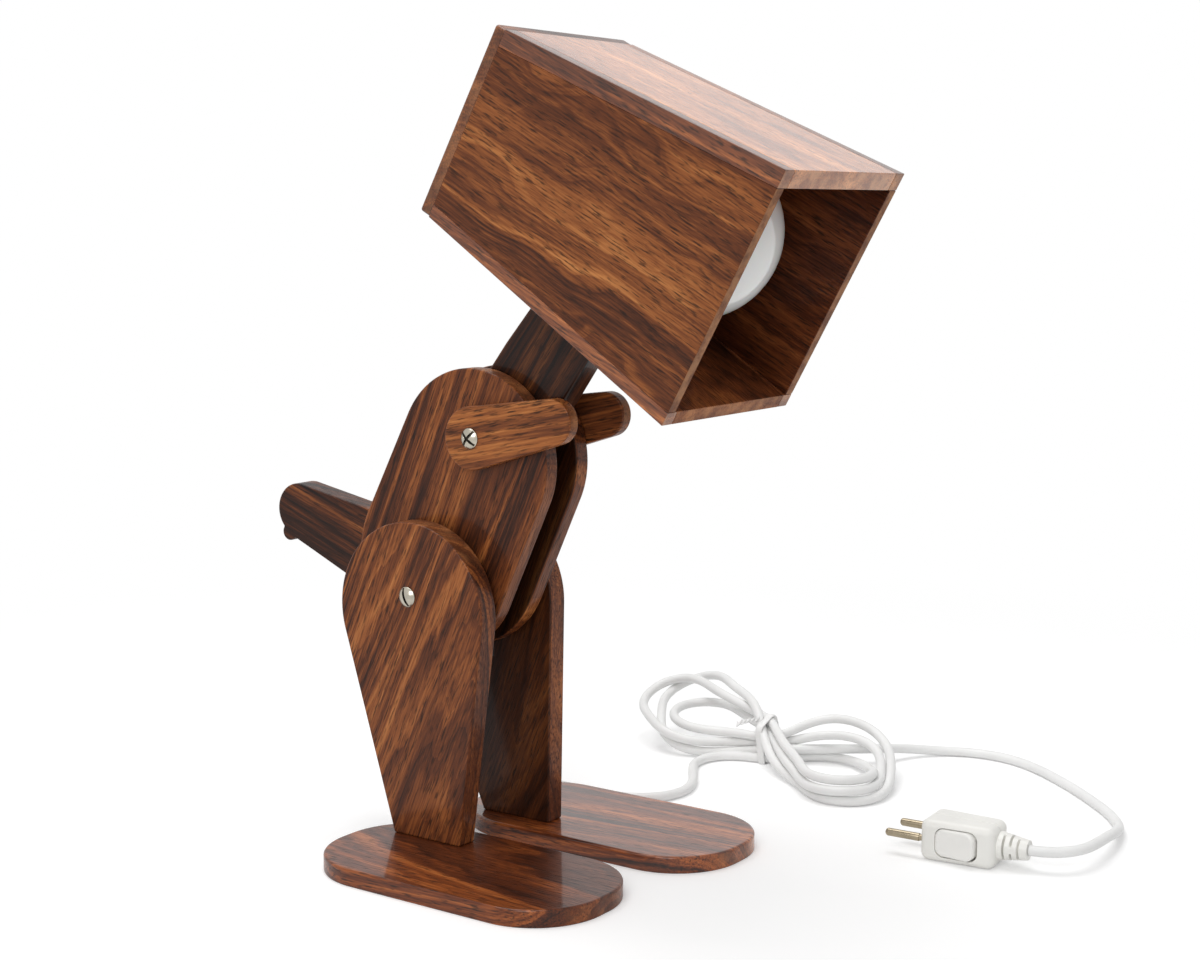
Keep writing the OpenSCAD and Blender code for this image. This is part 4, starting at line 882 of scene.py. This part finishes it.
# %% Edge strips and cheeks
shells = []
for sign in (-1, 1):
    for thick, up in ((TOP_T, 1), (LOW_T, -1)):
        strip = corners([(0, 0), (STRIP_W, 0), (STRIP_W, thick), (0, thick)])
        p, f = board(0, BACK_AT, strip, **FINE)
        outwards, upwards = half_w(p[:, 2]) - STRIP_W + p[:, 0], half_h(p[:, 2]) - thick + p[:, 1]
        shells.append((in_head(sign * outwards, p[:, 2], up * upwards), f))
finish = wood(
    "dark_strips", HEAD_S, HEAD_H, heart=(0.04, 0.05), seed=12.5,
    tone=1.6, tint=(1.0, 0.97, 0.95), lift=-0.03, ends=0.5, coat=0.75, bold=0.8,
)
strips = together(*shells)
piece("dark_edge_strips", strips, "head", ["head_edge_strips"], finish)

floor_at = [LOW_T - half_h(s) for s in (74, 102)]
ends = [(75.2, floor_at[0] + 1.0, 1.0), (100.8, floor_at[1] + 1.0, 1.0)]
cheek_line = stretched_round([(PIVOT_S, -38.7, 10), *ends], 200)
bore = [circle_line(PIVOT_S, -38.7, PIVOT_BORE)]
finish = wood("walnut_cheeks", HEAD_H, SIDEWAYS, heart=(0.02, 0.03), seed=13.1, tone=0.8)
for side, sign in SIDES:
    p, f = board(*on_side(sign, CHEEKS), cheek_line, bore, (0.6, 0.6), skin=0.2)
    shell = in_head(p[:, 2], p[:, 0], p[:, 1]), f
    piece("walnut_cheek_" + side, shell, "head", ["head_cheek_" + side], finish)

# %% [markdown]
# Bolts and washers are nickelled steel. Nickel is a mirror with faint cloudy wear and hairline
# scratches, which only roughness and bump show, so its colour hardly varies.

# %% Metal
def metal(name, paint, rough):
    """Polished metal: cloudy noise raises the roughness, finer noise makes hairline scratches."""
    material, shader, here = new_finish(name, metallic=1.0)
    cloud, hair = here.noise(240.0, 4.0, 0.6), here.drawn_out(1.0, 0.15).noise(2400.0, 2.0)
    low, high = (tuple(k * c for c in linear(*paint)) for k in (0.86, 1.06))
    dull = rough + (cloud - 0.5) * 0.16 + (hair - 0.5) * 0.1
    feed(shader, base_color=cloud.step(0.3, 0.7).mix(low, high), roughness=dull)
    feed(shader, normal=bumped(hair, 0.08, 0.0001))
    return material


nickel = metal("nickel_plating", (184, 178, 164), 0.22)
# A dark metal for the painted shade in the screw slots.
slot_shade = metal("slot_shadow", (58, 52, 46), 0.5)
steel = metal("washer_steel", (172, 172, 170), 0.32)
dark_steel = metal("screw_steel", (95, 95, 98), 0.38)
brass = metal("contact_brass", (198, 160, 84), 0.28)
print("metals:", ", ".join(m.name for m in (nickel, slot_shade, steel, dark_steel, brass)))

# %% [markdown]
# A domed head with a screwdriver slot is a height over a disc: the dome less the slot. Its grid
# lines run along the slot, so both walls of the slot are crisp. The slot's floor gets a dark
# finish of its own: painted shade in the recess.

# %% Screw heads
HEAD_R, HEAD_HIGH, SLOT_DEEP = 5.0, 2.6, 1.1


def screw_head(r, high, cross, reach, shank):
    """Height over the disc (u, v) = a flat rim, then a dome, less the slot's depth.

    The slot is where |u| < 0.6, and |v| < 0.6 as well for a cross. From the rim, a skirt goes
    down to the head's seat, in to the shank and along it.
    """
    edge = np.array([-0.68, -0.6, -0.52, 0.52, 0.6, 0.68])
    u = np.sort(np.concatenate([r * np.sin(np.linspace(-np.pi / 2, np.pi / 2, 43)), edge]))
    u = u[np.abs(u) < r]
    t = np.sort(np.concatenate([np.linspace(-1, 1, 61), edge / r]))
    grid_u = np.broadcast_to(u[:, None], (len(u), len(t)))
    grid_v = np.sqrt(np.maximum(r * r - u * u, 0))[:, None] * t[None]
    rho = np.minimum(np.hypot(grid_u, grid_v), r)
    ball = (r * r + (high - 0.5) ** 2) / (2 * (high - 0.5))
    dome = high - ball + np.sqrt(ball * ball - rho * rho)
    groove = np.clip((0.66 - np.abs(grid_u)) / 0.12, 0, 1)
    if cross:
        groove = np.maximum(groove, np.clip((0.66 - np.abs(grid_v)) / 0.12, 0, 1))
    height = np.maximum(np.minimum(dome, dome * (1 - groove) + (high - SLOT_DEEP) * groove), 0.3)
    face = np.stack([grid_u, grid_v, height], -1).reshape(-1, 3)
    rows, cols = len(u), len(t)
    index = np.arange(rows * cols).reshape(rows, cols)
    rim = np.concatenate([index[:, -1], index[-1, -2::-1][:-1], index[::-1, 0], index[0, 1:-1]])
    ring = face[rim].copy()
    ring[:, 2] = 0
    away = np.arctan2(ring[:, 1], ring[:, 0])
    thin = np.stack([shank * np.cos(away), shank * np.sin(away), np.zeros(len(away))], 1)
    deep = thin - [0, 0, reach]
    m, i = len(rim), np.arange(len(rim))
    j = (i + 1) % m
    points = np.vstack([face, ring, thin, deep])
    walls = np.array([rim, *(rows * cols + k * m + i for k in range(3))])
    faces = skin_of(rows, cols, closed=False)
    for one, two in zip(walls[:-1], walls[1:]):
        faces += np.stack([one[i], one[j], two[j], two[i]], 1).tolist()
    return points, faces + [walls[-1].tolist()]


def bolt_piece(part, centre, x, turn, cross, reach, shank):
    """A head turned by turn and laid along x; the side of the lamp says which way it faces."""
    sign = math.copysign(1, x)
    p, f = screw_head(HEAD_R, HEAD_HIGH, cross, reach, shank)
    c, s = math.cos(turn), math.sin(turn)
    u, v = c * p[:, 0] - s * p[:, 1], s * p[:, 0] + c * p[:, 1]
    shell = np.stack([x + sign * p[:, 2], centre[0] + u, centre[1] + v], 1), f
    made = piece("nickel_" + part, shell, "torso", [part], nickel, sharp=28)
    out, y, z = (middles_of(made) - [x, *centre]).T
    one, two = np.abs(c * y + s * z), np.abs(c * z - s * y)
    in_slot = (one < 0.62) | ((two < 0.62) & cross)
    # The slot's faces get the painted shade.
    refinish(made, slot_shade, in_slot & (sign * out > 0.4) & (np.hypot(y, z) < 4.6))

# %% [markdown]
# Each joint has a barrel bolt from the right and a screw from the left that runs into it. Their
# slots stand at odd angles, as hands leave them.

# %% Bolts
for part, centre, x, degrees, cross, reach, shank in (
    ("shoulder_bolt", SHOULDER, -25.6, 40, True, 39.0, 3.0),
    ("shoulder_screw", SHOULDER, 25.6, 15, True, 12.0, 1.8),
    ("hip_bolt", HIP, -33.8, -20, False, 55.0, 3.0),
    ("hip_screw", HIP, 33.8, 30, True, 12.0, 1.8),
):
    bolt_piece(part, centre, x, math.radians(degrees), cross, reach, shank)

# %% [markdown]
# Washers keep the boards from rubbing each other's varnish off, and the longer spacers hold the
# legs clear of the arms. They are boards too, thin, round and with a large hole.

# %% Washers and spacers
for part, centre, r, faces in (
    ("neck_washers", SHOULDER, 9.0, (7.1, 7.8)), ("tail_washers", HIP, 9.0, (7.1, 7.8)),
    ("arm_washers", SHOULDER, 9.0, (17.5, 18.4)), ("leg_spacers", HIP, 10.0, (17.5, 21.6)),
):
    edges = (min(0.25, 0.3 * (faces[1] - faces[0])),) * 2
    disc, bore = stretched_round([(*centre, r)], 72), [circle_line(*centre, BORE)]
    both = [board(*on_side(sign, faces), disc, bore, edges, skin=0.1) for sign in (-1, 1)]
    piece("steel_" + part, side_on(together(*both)), "torso", [part], steel)

# %% [markdown]
# Everything round on the bulb's axis is turned: a profile of (distance behind the rim, radius)
# is carried round the axis. The cap's thread is the same turning, with the radius varied along
# a helix.

# %% Turned pieces on the bulb's axis
BULB_H = 2.5


def turned(profile, around=96, thread=None):
    """Points (s, r) carried round the axis: x = r cos q, h = axis + r sin q.

    The first and last radius are zero, so both ends close.
    """
    s, r = np.asarray(profile, float).T
    q = once_round(around)
    radius = np.broadcast_to(r[:, None], (len(r), around)).copy()
    if thread:
        radius += thread(s[:, None], q[None]) * (radius > 1)
    x, h = radius * np.cos(q), BULB_H + radius * np.sin(q)
    at = np.broadcast_to(s[:, None], x.shape)
    return in_head(x.ravel(), at.ravel(), h.ravel()), skin_of(len(s), around)

# %% [markdown]
# Moulded plastic and opal glass are almost even in colour. What makes them look real is a fine
# unevenness of the surface, so one helper serves for all of them.

# %% Plastics
def plastic(name, paint, rough=0.38, grain=900.0, shade=0.94, **constants):
    """Moulded plastic: very slight clouding in colour, and a fine orange-peel surface."""
    material, shader, here = new_finish(name, **constants)
    cloud, peel = here.noise(45.0, 3.0), here.noise(grain, 2.0)
    bright = linear(*paint)
    colour = cloud.step(0.25, 0.75).mix(tuple(shade * c for c in bright), bright)
    feed(shader, base_color=colour, roughness=rough + (cloud - 0.5) * 0.12 + (peel - 0.5) * 0.06)
    feed(shader, normal=bumped(peel, 0.12, 0.0001))
    return material

# %% [markdown]
# The opal globe is white glass in which light is scattered, which a little Subsurface gives. A
# white collar joins it to the metal cap, and the cap's thread ends in the lamp holder.

# %% Bulb and lamp holder
opal = plastic(
    "opal_glass", (242, 242, 240), 0.16, 300.0, 0.97,
    coat_weight=0.4, coat_roughness=0.05, subsurface_weight=0.12,
)
GLOBE_AT, GLOBE_R = 55, 40
arc = np.linspace(0, math.acos(-35 / GLOBE_R), 72)
globe = [(GLOBE_AT - GLOBE_R * math.cos(a), GLOBE_R * math.sin(a)) for a in arc]
globe += [(90, 17.5), (90, 0)]
piece("opal_globe", turned(globe, 128), "head", ["bulb_globe"], opal)
collar = [
    (90, 0), (90, 17.4), (90.6, 19.2), (92, 18.9), (105.5, 14.9), (106.6, 14.4), (107, 13.6), (107, 0),
]
white_collar = plastic("collar_plastic", (226, 224, 216))
piece("bulb_collar_white", turned(collar), "head", ["bulb_collar"], white_collar)


def thread(s, q):
    """0.6 mm up and down along a helix of 3.6 mm pitch."""
    return np.where((s > 108.5) & (s < 129), 0.6 * np.cos(2 * np.pi * s / 3.6 - q), 0)


tube = [(s, 12.45) for s in np.linspace(108, 129.2, 120)]
contact = [(130, 11.5), (133.4, 6), (133.5, 4.5), (134.8, 4.2), (135, 0)]
cap = turned([(107.1, 0), (107.1, 12.6), *tube, *contact], 96, thread)
cap_metal = metal("cap_metal", (190, 188, 180), 0.3)
piece("threaded_bulb_cap", cap, "head", ["bulb_cap"], cap_metal, sharp=50)
holder = turned([
    (142, 0), (142, 14), (108.6, 14), (108, 14.6), (108, 19.2), (108.8, 20),
    (153.6, 20), (154, 20.3), (154, 27.4), (154.6, 28), (157, 28), (157, 0),
])
holder_white = plastic("holder_plastic", (222, 220, 212))
piece("lamp_holder_white", holder, "head", ["lamp_holder"], holder_white, sharp=40)

# %% [markdown]
# The plug is moulded in two halves that meet in an upright seam. Its body is a rounded block
# that narrows towards the cord: rings of a rounded rectangle, drawn in at both ends as a
# quarter circle. A rocker switch sits in an opening cut into the outer half.

# %% Plug frame and rings
PLUG_AT, PLUG_TURN = np.array([114.3, -157.5, 10.5]), math.radians(3)
PLUG_LONG, PLUG_ROUND = 37.5, 4.2


def at_plug(shell):
    """Plug axes to the lamp's: turned about z, then moved to the middle of the pin face."""
    x, y, z = np.asarray(shell[0], float).reshape(-1, 3).T
    c, s = math.cos(PLUG_TURN), math.sin(PLUG_TURN)
    points = np.stack([PLUG_AT[0] + c * x - s * y, PLUG_AT[1] + s * x + c * y, PLUG_AT[2] + z], 1)
    return points, shell[1]


def capped(rings):
    """Rings of the same number of points, joined by a skin and closed by a face at each end."""
    grid = np.asarray(rings, float)
    rows, count = grid.shape[:2]
    ends = [list(range(start, start + count)) for start in (0, (rows - 1) * count)]
    return grid.reshape(-1, 3), skin_of(rows, count) + ends


def half_block(sign):
    """Half of the plug's body, as rings at distances d from its end faces.

    A ring is drawn in by i = R - sqrt(R^2 - (R - d)^2), and its corners have radius R - i.
    """
    q, big = np.linspace(0, np.pi / 2, 9), PLUG_ROUND
    near, far = big * (1 - np.cos(q[1:])), PLUG_LONG - big * (1 - np.cos(q[:0:-1]))
    rings = []
    for d in np.r_[0, near, np.linspace(big, PLUG_LONG - big, 12)[1:-1], far, PLUG_LONG]:
        end = min(d, PLUG_LONG - d, big)
        inset = big - math.sqrt(max(big**2 - (big - end) ** 2, 0))
        r = max(big - inset, 0.02)
        wide, tall = (25.5 - 3.5 * d / PLUG_LONG) / 2 - inset, 10.5 - inset
        corner_x, corner_z = wide - r, tall - r
        x_up, x_down = corner_x + r * np.sin(q), corner_x + r * np.cos(q)
        x = np.r_[0.1, 0.45, x_up, x_down, 0.45, 0.1]
        z_up, z_down = corner_z + r * np.cos(q), -corner_z - r * np.sin(q)
        z = np.r_[tall - 0.35, tall, z_up, z_down, -tall, 0.35 - tall]
        rings.append(np.stack([sign * x, np.full(len(x), -d), z], 1))
    return capped(rings)


def carve(made, shell):
    """Cuts a closed shape out of a piece with an exact Boolean, and keeps the result."""
    cutter = placed("cutter", closed_mesh("cutter", shell))
    cut = made.modifiers.new("opening", "BOOLEAN")
    cut.operation, cut.solver, cut.object = "DIFFERENCE", "EXACT", cutter
    bpy.context.view_layer.update()
    evaluated = made.evaluated_get(bpy.context.evaluated_depsgraph_get())
    result = bpy.data.meshes.new_from_object(evaluated)
    made.modifiers.clear()
    made.data = result
    bpy.data.objects.remove(cutter)
    result.shade_smooth()
    result.set_sharp_from_angle(angle=math.radians(35))

# %% [markdown]
# The halves are the same block mirrored by the sign of x, and the outer one is cut open for the
# rocker. The pins are turned about y, with a rounded tip and a thinner shank in the body.

# %% Plug shells and pins
warm_white = plastic("plug_plastic", (244, 243, 238), 0.34)
halves = {}
for half, sign in (("outer", -1), ("inner", 1)):
    block, node = at_plug(half_block(sign)), "plug_shell_" + half
    halves[half] = piece("plug_half_" + half, block, "torso", [node], warm_white)
opening = corners([(-29.6, -7.5), (-7.9, -7.5), (-7.9, 7.5), (-29.6, 7.5)], 4.6)[0]
carve(halves["outer"], at_plug(capped([np.c_[np.full(96, x), opening] for x in (-20.0, -5.5)])))

tip = [(17.4 + 1.6 * math.sin(a), 0.4 + 1.6 * math.cos(a)) for a in np.linspace(0, np.pi / 2, 8)]
pin = np.array([(-1.8, 0), (-1.8, 1.6), (1.0, 1.6), (1.05, 1.95), (1.2, 2.0), *tip, (19, 0)])
ring = once_round(40)
y, r = pin[:, :1], pin[:, 1:]
pins = []
for x in (-9.3, 9.3):
    grid = np.stack([x + r * np.cos(ring), y + 0 * ring, r * np.sin(ring)], -1)
    pins.append(at_plug((grid, skin_of(len(pin), 40))))
pin_metal = metal("pin_plating", (162, 150, 128), 0.3)
piece("plug_pins_nickel", together(*pins), "torso", ["plug_pins"], pin_metal)

# %% [markdown]
# The rocker is a rounded pad that is hollowed a little along its length and stands tilted in
# its opening, on an axis of its own. Its rings are pulled in more and more towards the middle,
# so the same list of steps gives both the rounded edge and the finger's hollow.

# %% Rocker
tilt = math.radians(-6)
plan, plan_n = corners([(-10.3, -7.0), (10.3, -7.0), (10.3, 7.0), (-10.3, 7.0)], 4.4)
rings = [np.c_[np.zeros(96), plan]]
for pull, low in (
    (0, 1.4), (0.12, 0.75), (0.45, 0.3), (1.0, 0.05), (1.7, 0), (3.2, 0), (4.8, 0), (6.2, 0),
):
    ring = plan - pull * plan_n if pull < 3 else plan * (1 - (pull + 0.8) / 7.1)
    lift = 0.5 * (ring[:, 0] / 10.3) ** 2 - 0.45
    rings.append(np.c_[-(7.3 + lift - low), ring])
rings.append(np.c_[np.full(96, -6.85), np.zeros((96, 2))])
x, y, z = np.moveaxis(np.array(rings), -1, 0)
turned_x = -6.25 + x * math.cos(tilt) - y * math.sin(tilt)
turned_y = -18.75 + x * math.sin(tilt) + y * math.cos(tilt)
faces = skin_of(len(rings), 96) + [list(range(96))]
shell = at_plug((np.stack([turned_x, turned_y, z], -1), faces))
rocker_white = plastic("rocker_plastic", (246, 245, 241), 0.28)
piece("plug_rocker_white", shell, "rocker", ["plug_rocker"], rocker_white)

# %% [markdown]
# The ribbed sleeve lets the cord bend gently where it enters the plug. It is a cone with four
# grooves, and each groove is broken by two webs that stand crosswise to the next one's, so the
# radius is a product of a groove along the length and a window round it.

# %% Strain relief
RELIEF_LONG, RIBS = 14.3, 4
length, around = np.linspace(0, RELIEF_LONG, 130), once_round(96)
cone = 7.2 - 2.3 * length / RELIEF_LONG
rib = length / (RELIEF_LONG / RIBS)
groove = np.clip((0.17 - np.abs(rib % 1.0 - 0.86)) / 0.06, 0, 1) * (length < 13.2)
crosswise = (np.floor(rib).astype(int) % 2)[:, None] * np.pi / 2
window = np.clip((np.abs(np.cos(around[None] - crosswise)) - 0.30) / 0.14, 0, 1)
r = cone[:, None] - groove[:, None] * window * (cone[:, None] - 3.4)
ends = np.r_[-5.0, -5.0, -0.05, length, RELIEF_LONG, RELIEF_LONG]
closed, seat, mouth = np.zeros((1, 96)), np.full((2, 96), 6.45), np.full((1, 96), 3.0)
r = np.vstack([closed, seat, r, mouth, closed])
grid = np.stack([r * np.cos(around), -PLUG_LONG - ends[:, None] + 0 * r, r * np.sin(around)], -1)
relief, node = at_plug((grid, skin_of(len(ends), 96))), "plug_strain_relief"
piece("plug_strain_relief_ribbed", relief, "torso", [node], warm_white, sharp=40)

# %% [markdown]
# The twist tie is a flat strip with a wire in it, pulled round the strands at the hank's waist
# and twisted into a short tail. The strip's loop is a band stretched round the places where the
# cord passes through the tie's plane, and the tail is a ribbon that turns about its own line.

# %% The tie's loop
WAIST, HANK_TURN = np.array([211.0, -11.0]), math.radians(6)
tie_way = np.array([math.sin(HANK_TURN), math.cos(HANK_TURN)])
tie_side = np.array([tie_way[1], -tie_way[0]])


def at_waist(u, ahead, z):
    """The tie's axes to the lamp's: u across the waist, ahead along the hank, z up."""
    u, ahead, z = (v.reshape(-1, 1) for v in np.broadcast_arrays(u, ahead, z))
    return np.c_[WAIST + u * tie_side + ahead * tie_way, z]


# Where the cord goes through the tie's plane, a circle stands for the strand
line = centreline / MM
ahead, aside = (line[:, :2] - WAIST) @ tie_way, (line[:, :2] - WAIST) @ tie_side
through = np.flatnonzero((ahead[:-1] * ahead[1:] <= 0) & (np.abs(aside[:-1]) < 22))
share = (ahead[through] / (ahead[through] - ahead[through + 1]))[:, None]
crossing = line[through] * (1 - share) + line[through + 1] * share
flat = np.c_[(crossing[:, :2] - WAIST) @ tie_side, crossing[:, 2]]
loop, loop_n = stretched_round(np.c_[flat, np.full(len(flat), 2.8)], 240)
loop = evened(np.vstack([loop[-20:], loop, loop[:20]]), 12)[20:-20]
loop[:, 1] = np.maximum(loop[:, 1], 0.0)

# The strip's section is an ellipse, 1.9 mm thick and 4.6 mm wide
section = np.linspace(0, 2 * np.pi, 19)
rings = []
for out, forwards in zip(1.05 + 0.95 * np.sin(section), -2.3 * np.cos(section)):
    u, z = (loop + out * loop_n).T
    rings.append(at_waist(u, forwards, np.maximum(z, 0)))
band = np.vstack(rings), skin_of(19, len(loop))
print("strands through the tie:", len(flat), "height", flat[:, 1].max().round(1))

# %% [markdown]
# The tail is a flat ribbon. Its path is a quadratic Bezier curve, so it leaves the first of its
# three points towards the second and arrives at the last one from there.
# Its width turns about the curve as it goes, which is the twist that holds the loop closed.

# %% The tie's tail
u = np.linspace(0, 1, 90)[:, None]
start, middle, end = np.array([(-4.0, 1.0, 25.0), (-7.0, 8.0, 26.5), (-12.0, 15.0, 22.0)])
path = (1 - u) ** 2 * start + 2 * u * (1 - u) * middle + u**2 * end
spin = 2 * np.pi * 3.2 * u
wide = np.cos(spin) * np.array([0.45, 0.85, 0.0]) + np.sin(spin) * np.array([0.3, -0.2, 0.93])
thick = unit(np.cross(wide, np.gradient(path, axis=0)))
box = [path + a * 1.7 * wide + b * 0.5 * thick for a, b in ((-1, -1), (1, -1), (1, 1), (-1, 1))]
points, faces = capped(np.stack(box, 1))
ribbon = at_waist(points[:, 0], points[:, 1], np.maximum(points[:, 2], 0.05)), faces
tie_white = plastic("tie_plastic", (244, 244, 243), 0.4)
piece("twist_tie", together(band, ribbon), "torso", ["cord_tie"], tie_white, sharp=50)

# %% [markdown]
# The cord's jacket is soft white plastic with a slight sheen. It carries a faint cloudy tone
# and the tiny waves that a jacket has where it was pulled over the twisted wires inside.

# %% Finishes of the cord and of the small hidden parts
sheath = plastic("cord_sheath", (240, 240, 239), 0.42, 420.0)
cord_curve.materials.append(sheath)
black = plastic("dark_plastic", (38, 38, 40), 0.5)
for finish, nodes in (
    (sheath, ("body_lead", "neck_lead", "head_lead")),
    # Gland and sleeve are black plastic, black as painted shade, so that they vanish into the shade
    # between the body plates.
    (black, ("cord_gland", "gland_sleeve")),
    (dark_steel, ("foot_screws_right", "foot_screws_left")),
    (nickel, ("head_pivot_bolt", "head_wing_nut", "lamp_holder_screws")),
    (steel, ("head_washers",)),
    (brass, ("lamp_holder_contacts", "plug_contacts")),
):
    for node in nodes:
        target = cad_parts[node]
        if not target.material_slots:
            target.data.materials.append(finish)
        for place in target.material_slots:
            place.material = finish
    print(finish.name, "on", len(nodes), "solids")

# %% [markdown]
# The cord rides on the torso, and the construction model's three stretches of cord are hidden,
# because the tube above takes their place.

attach(mains_cord, "torso")
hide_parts("cord_lamp_side", "cord_hank", "cord_plug_side")

# %% [markdown]
# The studio is a pale table that fades into a white surround, so the lamp stands in even light
# and on no visible edge. Near the lamp the table is matt and takes its shadow. Farther out it
# is mixed with a plain white that shows only where it is looked at.

# %% The table
WHITE = (1.0, 1.0, 1.0, 1.0)


def seen_rays(tree):
    """1 for rays from the camera, a mirror or glass, and 0 for rays that only carry light."""
    rays = tree.nodes.new("ShaderNodeLightPath").outputs
    kinds = ("Camera", "Glossy", "Transmission")
    seen, glossy, through = (Value(tree, rays[f"Is {kind} Ray"]) for kind in kinds)
    return seen.math("MAXIMUM", glossy).math("MAXIMUM", through)


table = bpy.data.meshes.new("table")
table.from_pydata([(-6, -6, 0), (6, -6, 0), (6, 6, 0), (-6, 6, 0)], [], [(0, 1, 2, 3)])
table_top = placed("table", table)
surface = bpy.data.materials.new("white_table")
surface.use_nodes = True
tree = surface.node_tree
tree.nodes.remove(tree.nodes["Principled BSDF"])
place = Value(tree, tree.nodes.new("ShaderNodeTexCoord").outputs["Object"])
seen = seen_rays(tree)
far = place.vector("SUBTRACT", (0.08, -0.02, 0.0)).vector("LENGTH")
far.socket = far.socket.node.outputs[1]
fade = far.step(0.24, 0.75)
matt = place.node("ShaderNodeBsdfDiffuse", {}, {"Color": (0.86, 0.86, 0.86, 1.0)})
lift = place.node("ShaderNodeEmission", {}, {"Color": WHITE, "Strength": seen * 0.24})
white = place.node("ShaderNodeEmission", {}, {"Color": WHITE, "Strength": 1.0})
near = place.node("ShaderNodeAddShader", {}, {0: matt, 1: lift})
both = place.node("ShaderNodeMixShader", {}, {0: fade * seen, 1: near, 2: white})
tree.links.new(both.socket, tree.nodes["Material Output"].inputs["Surface"])
table.materials.append(surface)
print("table in", surface.name)

# %% [markdown]
# The world's colour is one plain white. Its strength is 1 where it is looked at and about half
# as a light, so that the picture's ground is white and pale plastic still shows its shades.

# %% The white surround
sky = bpy.data.worlds.new("white_surround")
scene.world = sky
sky.use_nodes = True
tree = sky.node_tree
background = tree.nodes["Background"].inputs
background["Color"].default_value = WHITE
tree.links.new((0.46 + seen_rays(tree) * 0.54).socket, background["Strength"])
print("world", sky.name)

# %% [markdown]
# Two large soft lamps give the boards their shape: one overhead and a little behind, one from
# the front left. Their size keeps shadows soft, and their power stays low enough that the
# globe and the cord don't burn out.

# %% Lamps
def soft_lamp(name, at, target, size, power):
    """A square lamp at a place, turned to look at its target."""
    light = bpy.data.lights.new(name, "AREA")
    light.shape, light.size, light.energy = "SQUARE", size, power
    made = placed(name, light)
    made.location = at
    made.rotation_euler = (Vector(target) - Vector(at)).to_track_quat("-Z", "Y").to_euler()
    print(name, power, "W,", size, "m wide")


soft_lamp("overhead", (0.0, 0.2, 1.5), (0.05, 0.0, 0.15), 1.1, 13.0)
soft_lamp("front_left", (-1.4, -0.5, 1.0), (0.0, 0.0, 0.18), 0.8, 9.0)
